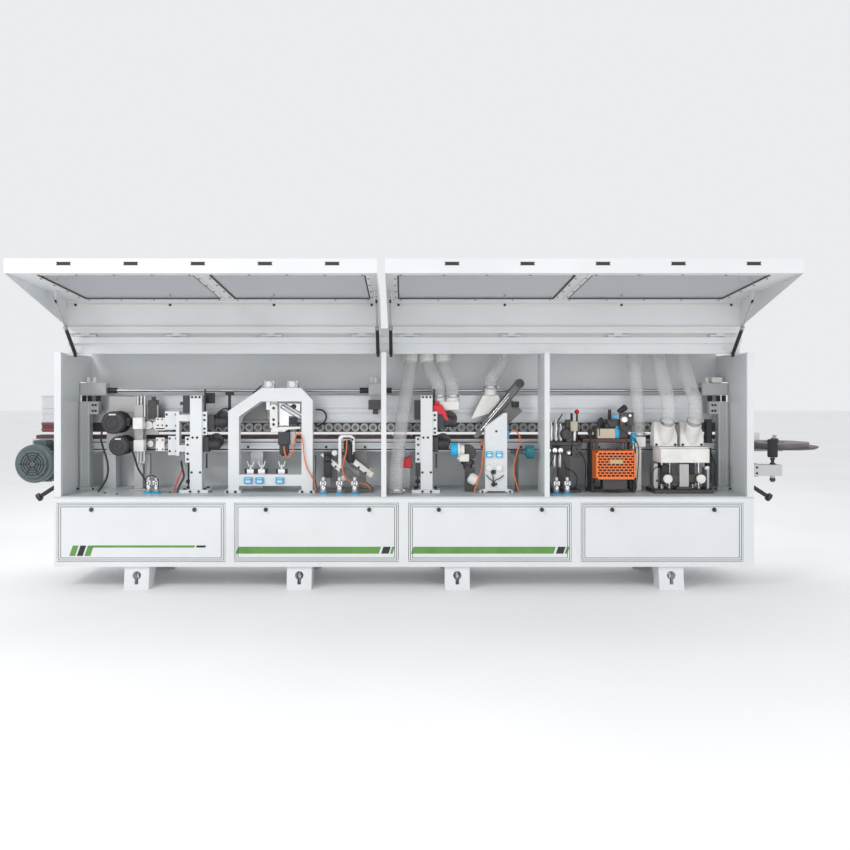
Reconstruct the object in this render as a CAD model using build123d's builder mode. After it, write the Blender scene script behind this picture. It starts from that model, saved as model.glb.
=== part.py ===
"""Edge banding machine with its two hoods open.

Frame: +X to the right as the operator faces the units, +Y to the rear, +Z up.
The origin is on the floor, at the centre of the four corner anchor holes.
All sizes are in millimetres.
"""

import os
from math import atan2, cos, hypot, radians, sin, tan

from build123d import *

os.makedirs("parts", exist_ok=True)

# Cabinet
HALF_LENGTH = 2075
FRONT = -350
REAR = 350
FOOT_HEIGHT = 136
TABLE_TOP = 552
TABLE_THICKNESS = 12
SHEET = 6
FRONT_PLATE = 20
WALL_TOP = 1408
WALL_REAR = 240
DOOR_SPANS = [(-2056, -1063), (-1005, -35), (29, 990), (1052, 2009)]
DOOR_BOTTOM = 165
DOOR_TOP = 512
DOOR_GAP = 3
DOOR_DEPTH = 18
LOCK_SPANS = [(-1853, -1242), (-819, -206), (206, 817), (1234, 1839)]
LOCK_HEIGHT = 475
PARTITIONS = (-120, 849)
POWER_INLET = (1900, 300)

# Feet and levelling bolts
FOOT_X = (-1589, -623, 317, 1589)
FOOT_WIDTH = 147
ANCHOR_INSET = 85
ANCHOR_RADIUS = 7

# Hoods, drawn open about a hinge line along X
HINGE_Y = -150
HINGE_Z = 1520
HOOD_SPANS = [(-2081, -141), (-99, 2081)]
CORNER_Z = 1735
PANEL_LENGTH = 810
PANEL_THICKNESS = 12
PANEL_RISE = 4.5
FASCIA_HEIGHT = 70
FASCIA_THICKNESS = 4
CHEEK_THICKNESS = 3
STRIP_DEPTH = 11
STRIP_BASE = 14
STRIP_TOP = 58
PIN_RADIUS = 4
RUNNING_GAP = 0.05

# Gas struts, from a pin on the wall to a stud on the hood
STRUT_X = [(-2020, -160), (-80, 2020)]
STRUT_FOOT = (-165, 1400)
STRUT_HEAD = (-475, 1715)
STRUT_TUBE_LENGTH = 225
STRUT_TUBE_RADIUS = 11
STRUT_ROD_RADIUS = 5
STRUT_PIN_RADIUS = 5

# Feed and top pressure
TRACK_TOP = 870
PAD_TOP = 893
ROLLER_RADIUS = 27
ROLLER_Z = 942
ROLLER_PITCH = 57
ROLLER_COUNT = 64
ROLLER_BORE = 8
BEAM_SPAN = (-2350, 2040)
BEAM_WALL = 5
CHAIN_SPAN = (-2370, 2070)
SHAFT_Y = 60
SHAFT_Z = 1181
SHAFT_RADIUS = 10


def block(x0, x1, y0, y1, z0, z1, mode=Mode.ADD):
    """Add or cut a block between two values of each axis."""
    with Locations(((x0 + x1) / 2, (y0 + y1) / 2, (z0 + z1) / 2)):
        Box(x1 - x0, y1 - y0, z1 - z0, mode=mode)


def rod(start, end, radius, mode=Mode.ADD):
    """Add or cut a cylinder from one point to another."""
    run = Vector(*end) - Vector(*start)
    with Locations(Plane(origin=start, z_dir=run).location):
        Cylinder(radius, run.length, align=(Align.CENTER, Align.CENTER, Align.MIN), mode=mode)


def plate_across(points, y0, y1, mode=Mode.ADD):
    """Add or cut a plate whose outline is in X and Z."""
    with BuildSketch(Plane.XZ.offset(-y0)) as outline:
        with BuildLine():
            Polyline(*points, close=True)
        make_face()
    extrude(outline.sketch, amount=y0 - y1, mode=mode)


def plate_along(points, x0, x1, mode=Mode.ADD):
    """Add or cut a plate whose outline is in Y and Z."""
    with BuildSketch(Plane.YZ.offset(x0)) as outline:
        with BuildLine():
            Polyline(*points, close=True)
        make_face()
    extrude(outline.sketch, amount=x1 - x0, mode=mode)


def write(piece, label):
    """Name a finished piece and write its STEP file."""
    piece.part.label = label
    export_step(piece.part, "parts/" + label + ".step")


# ---------------------------------------------------------------- base cabinet

base_top = TABLE_TOP - TABLE_THICKNESS
bulkheads = [-HALF_LENGTH + SHEET / 2]
bulkheads += [(a[1] + b[0]) / 2 for a, b in zip(DOOR_SPANS, DOOR_SPANS[1:])]
bulkheads += [HALF_LENGTH - SHEET / 2]

with BuildPart() as base_cabinet:
    block(-HALF_LENGTH, HALF_LENGTH, FRONT, REAR, FOOT_HEIGHT, base_top)
    for left, right in zip(bulkheads, bulkheads[1:]):
        block(left + SHEET / 2, right - SHEET / 2, FRONT + FRONT_PLATE, REAR - SHEET,
              FOOT_HEIGHT + SHEET, base_top - SHEET, Mode.SUBTRACT)
    for left, right in DOOR_SPANS:
        block(left - DOOR_GAP, right + DOOR_GAP, FRONT - 1, FRONT + FRONT_PLATE + 1,
              DOOR_BOTTOM, DOOR_TOP + DOOR_GAP, Mode.SUBTRACT)
        for edge, reach in ((left - DOOR_GAP, 15), (right + DOOR_GAP, -15)):
            rod((edge, FRONT + 6, DOOR_BOTTOM + 9), (edge + reach, FRONT + 6, DOOR_BOTTOM + 9), PIN_RADIUS)
    rod((POWER_INLET[0], REAR, POWER_INLET[1]), (POWER_INLET[0], REAR + 25, POWER_INLET[1]), 20)
    rod((POWER_INLET[0], REAR - 7, POWER_INLET[1]), (POWER_INLET[0], REAR + 26, POWER_INLET[1]), 9,
        Mode.SUBTRACT)
write(base_cabinet, "base_cabinet")

with BuildPart() as machine_table:
    block(-HALF_LENGTH, HALF_LENGTH, FRONT, REAR, base_top, TABLE_TOP)
write(machine_table, "machine_table")

for number, (left, right) in enumerate(DOOR_SPANS, 1):
    with BuildPart() as door:
        block(left, right, FRONT, FRONT + DOOR_DEPTH, DOOR_BOTTOM + DOOR_GAP, DOOR_TOP)
        block(left + 3, right - 3, FRONT + 3, FRONT + DOOR_DEPTH + 1,
              DOOR_BOTTOM + DOOR_GAP + 3, DOOR_TOP - 3, Mode.SUBTRACT)
        for edge in (left, right):
            rod((edge - 16, FRONT + 6, DOOR_BOTTOM + 9), (edge + 16, FRONT + 6, DOOR_BOTTOM + 9),
                PIN_RADIUS + RUNNING_GAP, Mode.SUBTRACT)
        for lock_x in LOCK_SPANS[number - 1]:
            rod((lock_x, FRONT - 1, LOCK_HEIGHT), (lock_x, FRONT + 4, LOCK_HEIGHT),
                11 + RUNNING_GAP, Mode.SUBTRACT)
    write(door, f"door_{number}")

    for side, lock_x in zip(("left", "right"), LOCK_SPANS[number - 1]):
        inward = 1 if side == "left" else -1
        with BuildPart() as door_lock:
            rod((lock_x, FRONT - 6, LOCK_HEIGHT), (lock_x, FRONT - 0.3, LOCK_HEIGHT), 12.5)
            rod((lock_x, FRONT - 0.3, LOCK_HEIGHT), (lock_x, FRONT + 25, LOCK_HEIGHT), 11)
            tip = lock_x + inward * 48
            block(min(lock_x, tip), max(lock_x, tip), FRONT + 22, FRONT + 25,
                  LOCK_HEIGHT - 8, LOCK_HEIGHT + 8)
            if number > 1:
                block(lock_x - 1.5, lock_x + 1.5, FRONT - 26, FRONT - 6, LOCK_HEIGHT - 5, LOCK_HEIGHT + 5)
                block(lock_x - 1.5, lock_x + 1.5, FRONT - 32, FRONT - 18, LOCK_HEIGHT - 9, LOCK_HEIGHT + 9)
        write(door_lock, f"door_{number}_lock_{side}")

# ------------------------------------------------------- feet, levelling bolts


def inset(side, depth):
    """Y of a point that lies the given depth inside the front or rear face."""
    return side * (REAR - depth)


with BuildPart() as feet:
    for foot_x in FOOT_X:
        for side in (-1, 1):
            outer = [(inset(side, 20), FOOT_HEIGHT), (inset(side, 160), FOOT_HEIGHT),
                     (inset(side, 110), 0), (inset(side, 0), 0)]
            inner = [(inset(side, 27), FOOT_HEIGHT + 1), (inset(side, 180), FOOT_HEIGHT + 1),
                     (inset(side, 180), 8), (inset(side, 8), 8)]
            half = FOOT_WIDTH / 2
            plate_along(outer, foot_x - half, foot_x + half)
            plate_along(inner, foot_x - half + 6, foot_x + half - 6, Mode.SUBTRACT)
            near, far = sorted((inset(side, -5), inset(side, 28)))
            rod((foot_x, near, 82), (foot_x, far, 82), 25, Mode.SUBTRACT)
            block(foot_x - 11, foot_x + 11, near, far, 30, 82, Mode.SUBTRACT)
            rod((foot_x, inset(side, ANCHOR_INSET), -1), (foot_x, inset(side, ANCHOR_INSET), 9),
                ANCHOR_RADIUS, Mode.SUBTRACT)
write(feet, "feet")

with BuildPart() as levelling_bolts:
    for foot_x in FOOT_X:
        for side in (-1, 1):
            bolt_y = inset(side, 50)
            rod((foot_x, bolt_y, 8), (foot_x, bolt_y, 16), 22)
            rod((foot_x, bolt_y, 16), (foot_x, bolt_y, FOOT_HEIGHT), 10)
            with BuildSketch(Plane.XY.offset(64)):
                with Locations((foot_x, bolt_y)):
                    RegularPolygon(17, 6)
            extrude(amount=18)
write(levelling_bolts, "levelling_bolts")

# ------------------------------------------------------------ upper structure

FLANGE = 40
FLANGE_DEPTH = 28
BEAM_SLOT = (40, 770, 1235)

with BuildPart() as bay_walls:
    for side in (-1, 1):
        outer, sheet, flange = (side * (HALF_LENGTH - t) for t in (0, SHEET, FLANGE))
        block(min(outer, sheet), max(outer, sheet), FRONT, WALL_REAR, TABLE_TOP, WALL_TOP)
        block(min(outer, flange), max(outer, flange), FRONT, FRONT + FLANGE_DEPTH, TABLE_TOP, WALL_TOP)
        block(min(outer, sheet) - 1, max(outer, sheet) + 1, BEAM_SLOT[0], WALL_REAR + 1,
              BEAM_SLOT[1], BEAM_SLOT[2], Mode.SUBTRACT)
        foot_x = side * 2020
        rod((side * (HALF_LENGTH - SHEET), *STRUT_FOOT), (foot_x - side * 12, *STRUT_FOOT), STRUT_PIN_RADIUS)
    for wall_x in PARTITIONS:
        block(wall_x - 15, wall_x + 15, FRONT, FRONT + 24, TABLE_TOP, WALL_TOP)
        block(wall_x - 3, wall_x + 3, FRONT + 24, -20, TABLE_TOP, WALL_TOP)
    rod((STRUT_X[0][1] - 12, *STRUT_FOOT), (STRUT_X[1][0] + 12, *STRUT_FOOT), STRUT_PIN_RADIUS)
write(bay_walls, "bay_walls")

with BuildPart() as rear_wall:
    block(-HALF_LENGTH + SHEET, HALF_LENGTH - SHEET, WALL_REAR - 15, WALL_REAR, 975, 1465)
    block(-HALF_LENGTH + SHEET, HALF_LENGTH - SHEET, WALL_REAR - 15, WALL_REAR, TABLE_TOP, 865)
write(rear_wall, "rear_wall")

SPIGOTS = [(40, 80), (145, 80), (250, 80), (640, 60), (1474, 60), (1636, 60), (1788, 60)]
SPIGOT_RADIUS = 42
SPIGOT_WALL = 3
SPIGOT_BOTTOM = 1430
SPIGOT_TOP = 1540
ROOF_TOP = 1471
HINGE_BEAM_TOP = 1508
LUG_LENGTH = 40
KNUCKLE_LENGTH = 50
KNUCKLE_RADIUS = 9


def hinge_centres(span):
    """X of the four hinges of one hood."""
    width = span[1] - span[0]
    return [span[0] + width * share for share in (0.06, 0.35, 0.65, 0.94)]


with BuildPart() as roof_beams:
    block(-HALF_LENGTH, HALF_LENGTH, -145, -80, WALL_TOP, ROOF_TOP)
    block(-HALF_LENGTH, HALF_LENGTH, -80, WALL_REAR, ROOF_TOP - SHEET, ROOF_TOP)
    block(-HALF_LENGTH, HALF_LENGTH, -175, -120, ROOF_TOP, HINGE_BEAM_TOP)
    for spigot_x, spigot_y in SPIGOTS:
        rod((spigot_x, spigot_y, SPIGOT_BOTTOM), (spigot_x, spigot_y, SPIGOT_TOP), SPIGOT_RADIUS)
    for spigot_x, spigot_y in SPIGOTS:
        rod((spigot_x, spigot_y, SPIGOT_BOTTOM - 1), (spigot_x, spigot_y, SPIGOT_TOP + 1),
            SPIGOT_RADIUS - SPIGOT_WALL, Mode.SUBTRACT)
    for span in HOOD_SPANS:
        for centre in hinge_centres(span):
            reach = KNUCKLE_LENGTH / 2 + LUG_LENGTH
            rod((centre - reach, HINGE_Y, HINGE_Z), (centre + reach, HINGE_Y, HINGE_Z), PIN_RADIUS)
            for side in (-1, 1):
                inner = centre + side * KNUCKLE_LENGTH / 2
                outer = centre + side * reach
                rod((inner, HINGE_Y, HINGE_Z), (outer, HINGE_Y, HINGE_Z), KNUCKLE_RADIUS)
                block(min(inner, outer), max(inner, outer), HINGE_Y - 6, HINGE_Y + 6, HINGE_BEAM_TOP, HINGE_Z)
write(roof_beams, "roof_beams")

# ---------------------------------------------------------------------- hoods

rise = radians(PANEL_RISE)
front_y = HINGE_Y - PANEL_LENGTH * cos(rise)
front_z = CORNER_Z + PANEL_LENGTH * sin(rise)
window_plane = Plane(origin=(0, HINGE_Y, CORNER_Z), x_dir=(1, 0, 0), z_dir=(0, sin(rise), cos(rise)))
WINDOW_BACK = -58
WINDOW_FRONT = -748


def window_spans(span):
    """X ranges of the two windows of one hood."""
    wide = 140
    narrow = 62
    left = span[0] + (wide if span[0] < -HALF_LENGTH else narrow)
    right = span[1] - (wide if span[1] > HALF_LENGTH else narrow)
    middle = (left + right) / 2
    return [(left, middle - 40), (middle + 40, right)]


def slab(x_span, y_span, base, height, mode=Mode.ADD):
    """Add or cut a rectangle on the tilted window panel."""
    with BuildSketch(window_plane.offset(base)) as outline:
        with Locations(((x_span[0] + x_span[1]) / 2, (y_span[0] + y_span[1]) / 2)):
            Rectangle(x_span[1] - x_span[0], y_span[1] - y_span[0])
    extrude(outline.sketch, amount=height, mode=mode)


def strut_line(length):
    """Point in Y and Z at a distance along the strut from its lower pin."""
    run = (STRUT_HEAD[0] - STRUT_FOOT[0], STRUT_HEAD[1] - STRUT_FOOT[1])
    share = length / hypot(*run)
    return (STRUT_FOOT[0] + run[0] * share, STRUT_FOOT[1] + run[1] * share)


for name, span, struts in zip(("left", "right"), HOOD_SPANS, STRUT_X):
    x0, x1 = span
    with BuildPart() as hood_shell:
        slab(span, (-PANEL_LENGTH - FASCIA_THICKNESS / 2, 0), 0, PANEL_THICKNESS)
        for window in window_spans(span):
            slab(window, (WINDOW_FRONT, WINDOW_BACK), -1, PANEL_THICKNESS + 2, Mode.SUBTRACT)
        block(x0, x1, front_y - FASCIA_THICKNESS, front_y, front_z - 6, front_z + FASCIA_HEIGHT)
        for slot in range(5):
            slot_x = x0 + (x1 - x0) * (0.16 + 0.18 * slot)
            block(slot_x - 36, slot_x + 36, front_y - 5, front_y + 1,
                  front_z + 38, front_z + 50, Mode.SUBTRACT)
        block(x0, x1, HINGE_Y - 1, HINGE_Y + 3, HINGE_Z + STRIP_BASE, CORNER_Z + PANEL_THICKNESS)
        block(x0, x1, HINGE_Y - STRIP_DEPTH, HINGE_Y - 1, HINGE_Z + STRIP_BASE, HINGE_Z + STRIP_TOP)
        cheek = [(HINGE_Y + 3, CORNER_Z + PANEL_THICKNESS), (HINGE_Y + 3, HINGE_Z + STRIP_BASE),
                 (HINGE_Y - STRIP_DEPTH, HINGE_Z + STRIP_BASE), (HINGE_Y - STRIP_DEPTH, HINGE_Z + STRIP_TOP),
                 (front_y, front_z - 6), (front_y, front_z + FASCIA_HEIGHT)]
        plate_along(cheek, x0, x0 + CHEEK_THICKNESS)
        plate_along(cheek, x1 - CHEEK_THICKNESS, x1)
        for centre in hinge_centres(span):
            half = KNUCKLE_LENGTH / 2 - 0.5
            rod((centre - half, HINGE_Y, HINGE_Z), (centre + half, HINGE_Y, HINGE_Z), KNUCKLE_RADIUS)
            block(centre - half, centre + half, HINGE_Y - 6, HINGE_Y + 3, HINGE_Z, HINGE_Z + 15)
            rod((centre - half - 1, HINGE_Y, HINGE_Z), (centre + half + 1, HINGE_Y, HINGE_Z),
                PIN_RADIUS + RUNNING_GAP, Mode.SUBTRACT)
        for strut_x, inward in zip(struts, (1, -1)):
            near, far = sorted((strut_x + inward * 8, strut_x + inward * 12))
            ear = [(STRUT_HEAD[0] - 12, STRUT_HEAD[1] - 8), (STRUT_HEAD[0] + 12, STRUT_HEAD[1] - 8),
                   (STRUT_HEAD[0] + 22, CORNER_Z + 26), (STRUT_HEAD[0] - 22, CORNER_Z + 26)]
            plate_along(ear, near, far)
            rod((strut_x + inward * 8, *STRUT_HEAD), (strut_x + inward * 5.6, *STRUT_HEAD), 4)
    write(hood_shell, f"hood_{name}_shell")

    with BuildPart() as hood_windows:
        for window in window_spans(span):
            slab(window, (WINDOW_FRONT, WINDOW_BACK), 3, 5)
    write(hood_windows, f"hood_{name}_windows")

    with BuildPart() as strut_tubes:
        for strut_x in struts:
            rod((strut_x, *strut_line(10)), (strut_x, *strut_line(STRUT_TUBE_LENGTH)), STRUT_TUBE_RADIUS)
            rod((strut_x - 8, *STRUT_FOOT), (strut_x + 8, *STRUT_FOOT), 13)
        for strut_x in struts:
            rod((strut_x - 9, *STRUT_FOOT), (strut_x + 9, *STRUT_FOOT),
                STRUT_PIN_RADIUS + RUNNING_GAP, Mode.SUBTRACT)
            rod((strut_x, *strut_line(18)), (strut_x, *strut_line(STRUT_TUBE_LENGTH + 1)),
                STRUT_ROD_RADIUS + RUNNING_GAP, Mode.SUBTRACT)
    write(strut_tubes, f"strut_{name}_tubes")

    strut_length = hypot(STRUT_HEAD[0] - STRUT_FOOT[0], STRUT_HEAD[1] - STRUT_FOOT[1])
    with BuildPart() as strut_rods:
        for strut_x in struts:
            rod((strut_x, *strut_line(190)), (strut_x, *strut_line(strut_length)), STRUT_ROD_RADIUS)
            rod((strut_x - 4, *STRUT_HEAD), (strut_x + 4, *STRUT_HEAD), 9)
    write(strut_rods, f"strut_{name}_rods")

# ------------------------------------------------------ feed track and pressure

with BuildPart() as track_beam:
    block(-2382, HALF_LENGTH, 60, 190, 790, TRACK_TOP)
    for leg_x in (-1900, -950, 0, 950, 1900):
        block(leg_x - 40, leg_x + 40, 90, 160, TABLE_TOP, 790)
write(track_beam, "track_beam")

PAD_PITCH = 62
with BuildPart() as feed_chain:
    block(*CHAIN_SPAN, 80, 170, TRACK_TOP, PAD_TOP)
    for number in range(1, int((CHAIN_SPAN[1] - CHAIN_SPAN[0]) / PAD_PITCH)):
        groove = CHAIN_SPAN[0] + number * PAD_PITCH
        block(groove - 2, groove + 2, 79, 171, TRACK_TOP + 14, PAD_TOP + 1, Mode.SUBTRACT)
write(feed_chain, "feed_chain")

roller_x = [(i - (ROLLER_COUNT - 1) / 2) * ROLLER_PITCH for i in range(ROLLER_COUNT)]
with BuildPart() as pressure_beam:
    block(*BEAM_SPAN, 112, 190, 975, 1150)
    block(BEAM_SPAN[0] + BEAM_WALL, BEAM_SPAN[1] - BEAM_WALL, 112 + BEAM_WALL, 190 - BEAM_WALL,
          975 + BEAM_WALL, 1150 - BEAM_WALL, Mode.SUBTRACT)
    block(*BEAM_SPAN, 112, 118, 924, 975)
    for centre in roller_x:
        rod((centre, 84, ROLLER_Z), (centre, 112, ROLLER_Z), ROLLER_BORE)
    for carriage_x in (-2028, 2028):
        block(carriage_x - 20, carriage_x + 12, 57, 112, 985, 1100)
write(pressure_beam, "pressure_beam")

with BuildPart() as pressure_rollers:
    for centre in roller_x:
        rod((centre, 82, ROLLER_Z), (centre, 111, ROLLER_Z), ROLLER_RADIUS)
    for centre in roller_x:
        rod((centre, 81, ROLLER_Z), (centre, 112, ROLLER_Z), ROLLER_BORE, Mode.SUBTRACT)
write(pressure_rollers, "pressure_rollers")

GEARBOX_SPANS = [(-2066, -1900), (-225, -138), (1900, 2066)]
with BuildPart() as lift_columns:
    for side in (-1, 1):
        near, far = sorted((side * 1995, side * 2060))
        block(near, far, 0, 56, TABLE_TOP + 18, 1110)
        base_near, base_far = sorted((side * 1950, side * 2065))
        block(base_near, base_far, -30, 58, TABLE_TOP, TABLE_TOP + 18)
        ear_near, ear_far = sorted((side * 1940, side * 1995))
        block(ear_near, ear_far, 0, 50, 1030, 1110)
        for spindle in (2045, 2010, 1955):
            rod((side * spindle, 40, 1110), (side * spindle, 40, 1150), 12)
write(lift_columns, "lift_columns")

with BuildPart() as lift_gearboxes:
    for left, right in GEARBOX_SPANS:
        block(left, right, 22, 98, 1150, 1228)
        for peg in (0.25, 0.5):
            rod((left + (right - left) * peg, 55, 1228), (left + (right - left) * peg, 55, 1262), 11)
    block(-225, -138, 98, WALL_REAR - 15, 1198, 1226)
    block(-215, -148, 30, 70, 1060, 1150)
    rod((-1980, SHAFT_Y, SHAFT_Z), (1980, SHAFT_Y, SHAFT_Z), SHAFT_RADIUS + RUNNING_GAP, Mode.SUBTRACT)
write(lift_gearboxes, "lift_gearboxes")

with BuildPart() as lift_shaft:
    rod((-1975, SHAFT_Y, SHAFT_Z), (1975, SHAFT_Y, SHAFT_Z), SHAFT_RADIUS)
    for left, right in ((-1898, -1842), (-284, -228), (-135, -79), (1842, 1898)):
        rod((left, SHAFT_Y, SHAFT_Z), (right, SHAFT_Y, SHAFT_Z), 18)
write(lift_shaft, "lift_shaft")

# --------------------------------------------------------- outboard equipment

MOTOR_X = -2285
MOTOR_Z = 728
with BuildPart() as drive_motor:
    rod((MOTOR_X, -150, MOTOR_Z), (MOTOR_X, 40, MOTOR_Z), 119)
    rod((MOTOR_X, -168, MOTOR_Z), (MOTOR_X, -150, MOTOR_Z), 88)
    block(MOTOR_X - 38, MOTOR_X + 38, -20, 60, MOTOR_Z + 80, 868)
write(drive_motor, "drive_motor")

ARM_Y = (-345, -265)
REEL_X = 2336
REEL_Y = -35
REEL_Z = 835
REEL_RADIUS = 250
GUIDE_X = 2205
GUIDE_Y = -305

with BuildPart() as outboard_supports:
    block(HALF_LENGTH, 2245, *ARM_Y, 675, 739)
    rod((GUIDE_X, GUIDE_Y, 739), (GUIDE_X, GUIDE_Y, 778), 9)
    rod((GUIDE_X, GUIDE_Y, 778), (GUIDE_X, GUIDE_Y, 900), 8)
    rod((GUIDE_X, GUIDE_Y, 640), (GUIDE_X, GUIDE_Y, 675), 14)
    block(HALF_LENGTH, 2115, -30, 10, 560, 800)
    block(HALF_LENGTH, REEL_X + 40, REEL_Y - 30, REEL_Y + 30, 800, 818)
    rod((REEL_X, REEL_Y, 818), (REEL_X, REEL_Y, 900), 12)
    for side in (-1, 1):
        start = side * HALF_LENGTH
        rod((start, -200, 620), (start + side * 26, -200, 620), 20)
        rod((start + side * 16, -200, 618), (start + side * 150, -200, 532), 12)
        rod((start + side * 145, -200, 535), (start + side * 162, -200, 524), 24)
    block(-2330, -2240, 192, 212, 700, TRACK_TOP)
    block(-2240, -HALF_LENGTH, 192, 212, 790, 830)
write(outboard_supports, "outboard_supports")

with BuildPart() as tape_reel:
    rod((REEL_X, REEL_Y, 820), (REEL_X, REEL_Y, REEL_Z), REEL_RADIUS)
    rod((REEL_X, REEL_Y, REEL_Z), (REEL_X, REEL_Y, 858), 200)
    rod((REEL_X, REEL_Y, 819), (REEL_X, REEL_Y, 890), 12 + RUNNING_GAP, Mode.SUBTRACT)
write(tape_reel, "tape_reel")

with BuildPart() as guide_roller:
    rod((GUIDE_X, GUIDE_Y, 782), (GUIDE_X, GUIDE_Y, 889), 29)
    rod((GUIDE_X, GUIDE_Y, 781), (GUIDE_X, GUIDE_Y, 890), 8 + RUNNING_GAP, Mode.SUBTRACT)
write(guide_roller, "guide_roller")

# --------------------------------------------------------------- left bay units

BUFFERS = {"upper": (-1800, 982, 70), "lower": (-1765, 838, 60)}
with BuildPart() as buffing_motors:
    for x, z, radius in BUFFERS.values():
        rod((x, -150, z), (x, 6, z), radius)
        rod((x, 6, z), (x, 20, z), 14)
        rod((x, 20, z), (x, 49, z), 8)
write(buffing_motors, "buffing_motors")

with BuildPart() as buffing_brackets:
    block(-1890, -1640, 6, 16, 770, 1060)
    for x, z, radius in BUFFERS.values():
        rod((x, 5, z), (x, 17, z), 14.2, Mode.SUBTRACT)
    block(-1700, -1645, -40, 6, TABLE_TOP, 1090)
    block(-1720, -1620, -70, 16, TABLE_TOP, TABLE_TOP + 12)
    block(-1690, -1630, -100, -40, 940, 1012)
    block(-1685, -1622, -100, -40, 800, 872)
    for x in (-1684, -1662):
        rod((x, -20, 1090), (x, -20, 1145), 7)
write(buffing_brackets, "buffing_brackets")

for name, (x, z, radius) in BUFFERS.items():
    with BuildPart() as buff_wheel:
        rod((x, 21, z), (x, 47, z), 72 if name == "upper" else 66)
        rod((x, 20, z), (x, 48, z), 8 + RUNNING_GAP, Mode.SUBTRACT)
    write(buff_wheel, f"buff_wheel_{name}")

TRIM_COLUMNS = ((-1323, -1250), (103, 176))
with BuildPart() as trim_columns:
    for left, right in TRIM_COLUMNS:
        block(left, right, -140, -80, TABLE_TOP + 18, 1150)
        block(left - 55, right + 45, -175, -45, TABLE_TOP, TABLE_TOP + 18)
        block(right, right + 30, -132, -118, 905, 1050)
        block(left - 32, left, -132, -118, 735, 895)
    block(-1500, -1400, -60, -48, 935, 1050)
    block(-1480, -1400, -60, -48, 775, 895)
    block(-1400, -1323, -100, -88, 990, 1030)
    block(-1400, -1323, -100, -88, 800, 840)
    block(-1420, -1400, -100, -48, 775, 1050)
write(trim_columns, "trim_columns")


def trim_head(x, z, reach):
    """Add a cutter motor, its guard and its copying disc beside a column."""
    block(x, x + reach * 0.35, -116, -60, z - 45, z + 45)
    rod((x + reach * 0.35, -88, z), (x + reach, -88, z), 34)
    rod((x + reach * 0.66, -56, z + 20), (x + reach * 0.66, -40, z + 20), 48)
    block(x + reach * 0.6, x + reach * 0.72, -60, -40, z - 20, z + 30)


with BuildPart() as trim_units:
    for left, right in TRIM_COLUMNS:
        trim_head(right + 30.5, 985, 120)
        trim_head(right, 845, 105)
    block(-1375, -1324, -110, -60, 1040, 1150)
    block(-1395, -1375, -100, -70, 1090, 1110)
    block(64, 102, -110, -60, 1000, 1120)
    block(72, 103, -132, -70, 650, 734)
    rod((290, -140, 815), (345, -140, 815), 42)
    block(340, 470, -120, -50, 740, 850)
    block(380, 440, -110, -60, TABLE_TOP, 740)
    rod((755, -100, 800), (810, -100, 800), 42)
    block(660, 755, -110, -90, 790, 812)
    block(690, 712, -110, -90, TABLE_TOP, 790)
write(trim_units, "trim_units")

GANTRY_Y = (-150, -90)
with BuildPart() as rounding_gantry:
    plate_across([(-1085, TABLE_TOP), (-1085, 1054), (-877, 1196), (-635, 1196), (-564, 1121),
                  (-564, TABLE_TOP)], *GANTRY_Y)
    plate_across([(-1018, 662), (-1018, 1020), (-884, 1114), (-632, 1114), (-632, 662)],
                 GANTRY_Y[0] - 1, GANTRY_Y[1] + 1, Mode.SUBTRACT)
    block(-1018, -632, GANTRY_Y[0] - 1, GANTRY_Y[1] + 1, TABLE_TOP - 1, 593, Mode.SUBTRACT)
    for left, right in ((-1100, -1003), (-647, -549)):
        block(left, right, GANTRY_Y[0] - 25, GANTRY_Y[1] + 25, TABLE_TOP, TABLE_TOP + 14)
    for x in (-833, -688):
        block(x - 31, x + 31, -150, -100, 1196, 1241)
        rod((x, -165, 1220), (x, -85, 1220), 14)
    block(-830, -790, -90, -82, 1050, 1150)
    rod((-810, -116, 1072), (-810, -84, 1072), 8)
write(rounding_gantry, "rounding_gantry")

with BuildPart() as rounding_arm:
    block(-834, -786, -114, -96, 940, 1096)
    block(-834, -700, -134, -96, 925, 956)
    rod((-742, -116, 815), (-742, -116, 925), 36)
    rod((-742, -116, 780), (-742, -116, 815), 20)
    rod((-810, -117, 1072), (-810, -95, 1072), 8 + RUNNING_GAP, Mode.SUBTRACT)
write(rounding_arm, "rounding_arm")

with BuildPart() as scraper_unit:
    block(-540, -190, -160, -40, TABLE_TOP, TABLE_TOP + 20)
    block(-460, -420, -90, -50, TABLE_TOP + 20, 780)
    block(-280, -240, -90, -50, TABLE_TOP + 20, 700)
    plate_across([(-520, 782), (-490, 790), (-205, 590), (-205, 572), (-250, 572)], -110, -92)
    plate_across([(-345, 752), (-320, 768), (-185, 668), (-205, 640)], -135, -112)
    rod((-330, -130, 740), (-355, -130, 868), 26)
    block(-400, -305, -160, -100, 862, 905)
    block(-400, -386, -150, -92, 700, 870)
write(scraper_unit, "scraper_unit")

# ------------------------------------------------------------- middle bay units

with BuildPart() as end_cut_post:
    plate_across([(500, 575), (500, 955), (616, 1042), (635, 1042), (635, 575)], -160, -80)
    plate_across([(505, 580), (505, 952), (617, 1036), (630, 1036), (630, 580)], -155, -79,
                 Mode.SUBTRACT)
    plate_across([(465, TABLE_TOP), (465, 566), (500, 575), (635, 575), (670, 566), (670, TABLE_TOP),
                  (640, TABLE_TOP), (615, 562), (520, 562), (495, TABLE_TOP)], -165, -70)
write(end_cut_post, "end_cut_post")

ARM_FOOT = (445, 885)
ARM_HEAD = (725, 1225)
arm_angle = atan2(ARM_HEAD[1] - ARM_FOOT[1], ARM_HEAD[0] - ARM_FOOT[0])
arm_side = (-sin(arm_angle), cos(arm_angle))


def arm_point(along, across):
    """Point in X and Z on the tilted arm."""
    return (ARM_FOOT[0] + along * cos(arm_angle) + across * arm_side[0],
            ARM_FOOT[1] + along * sin(arm_angle) + across * arm_side[1])


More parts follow.
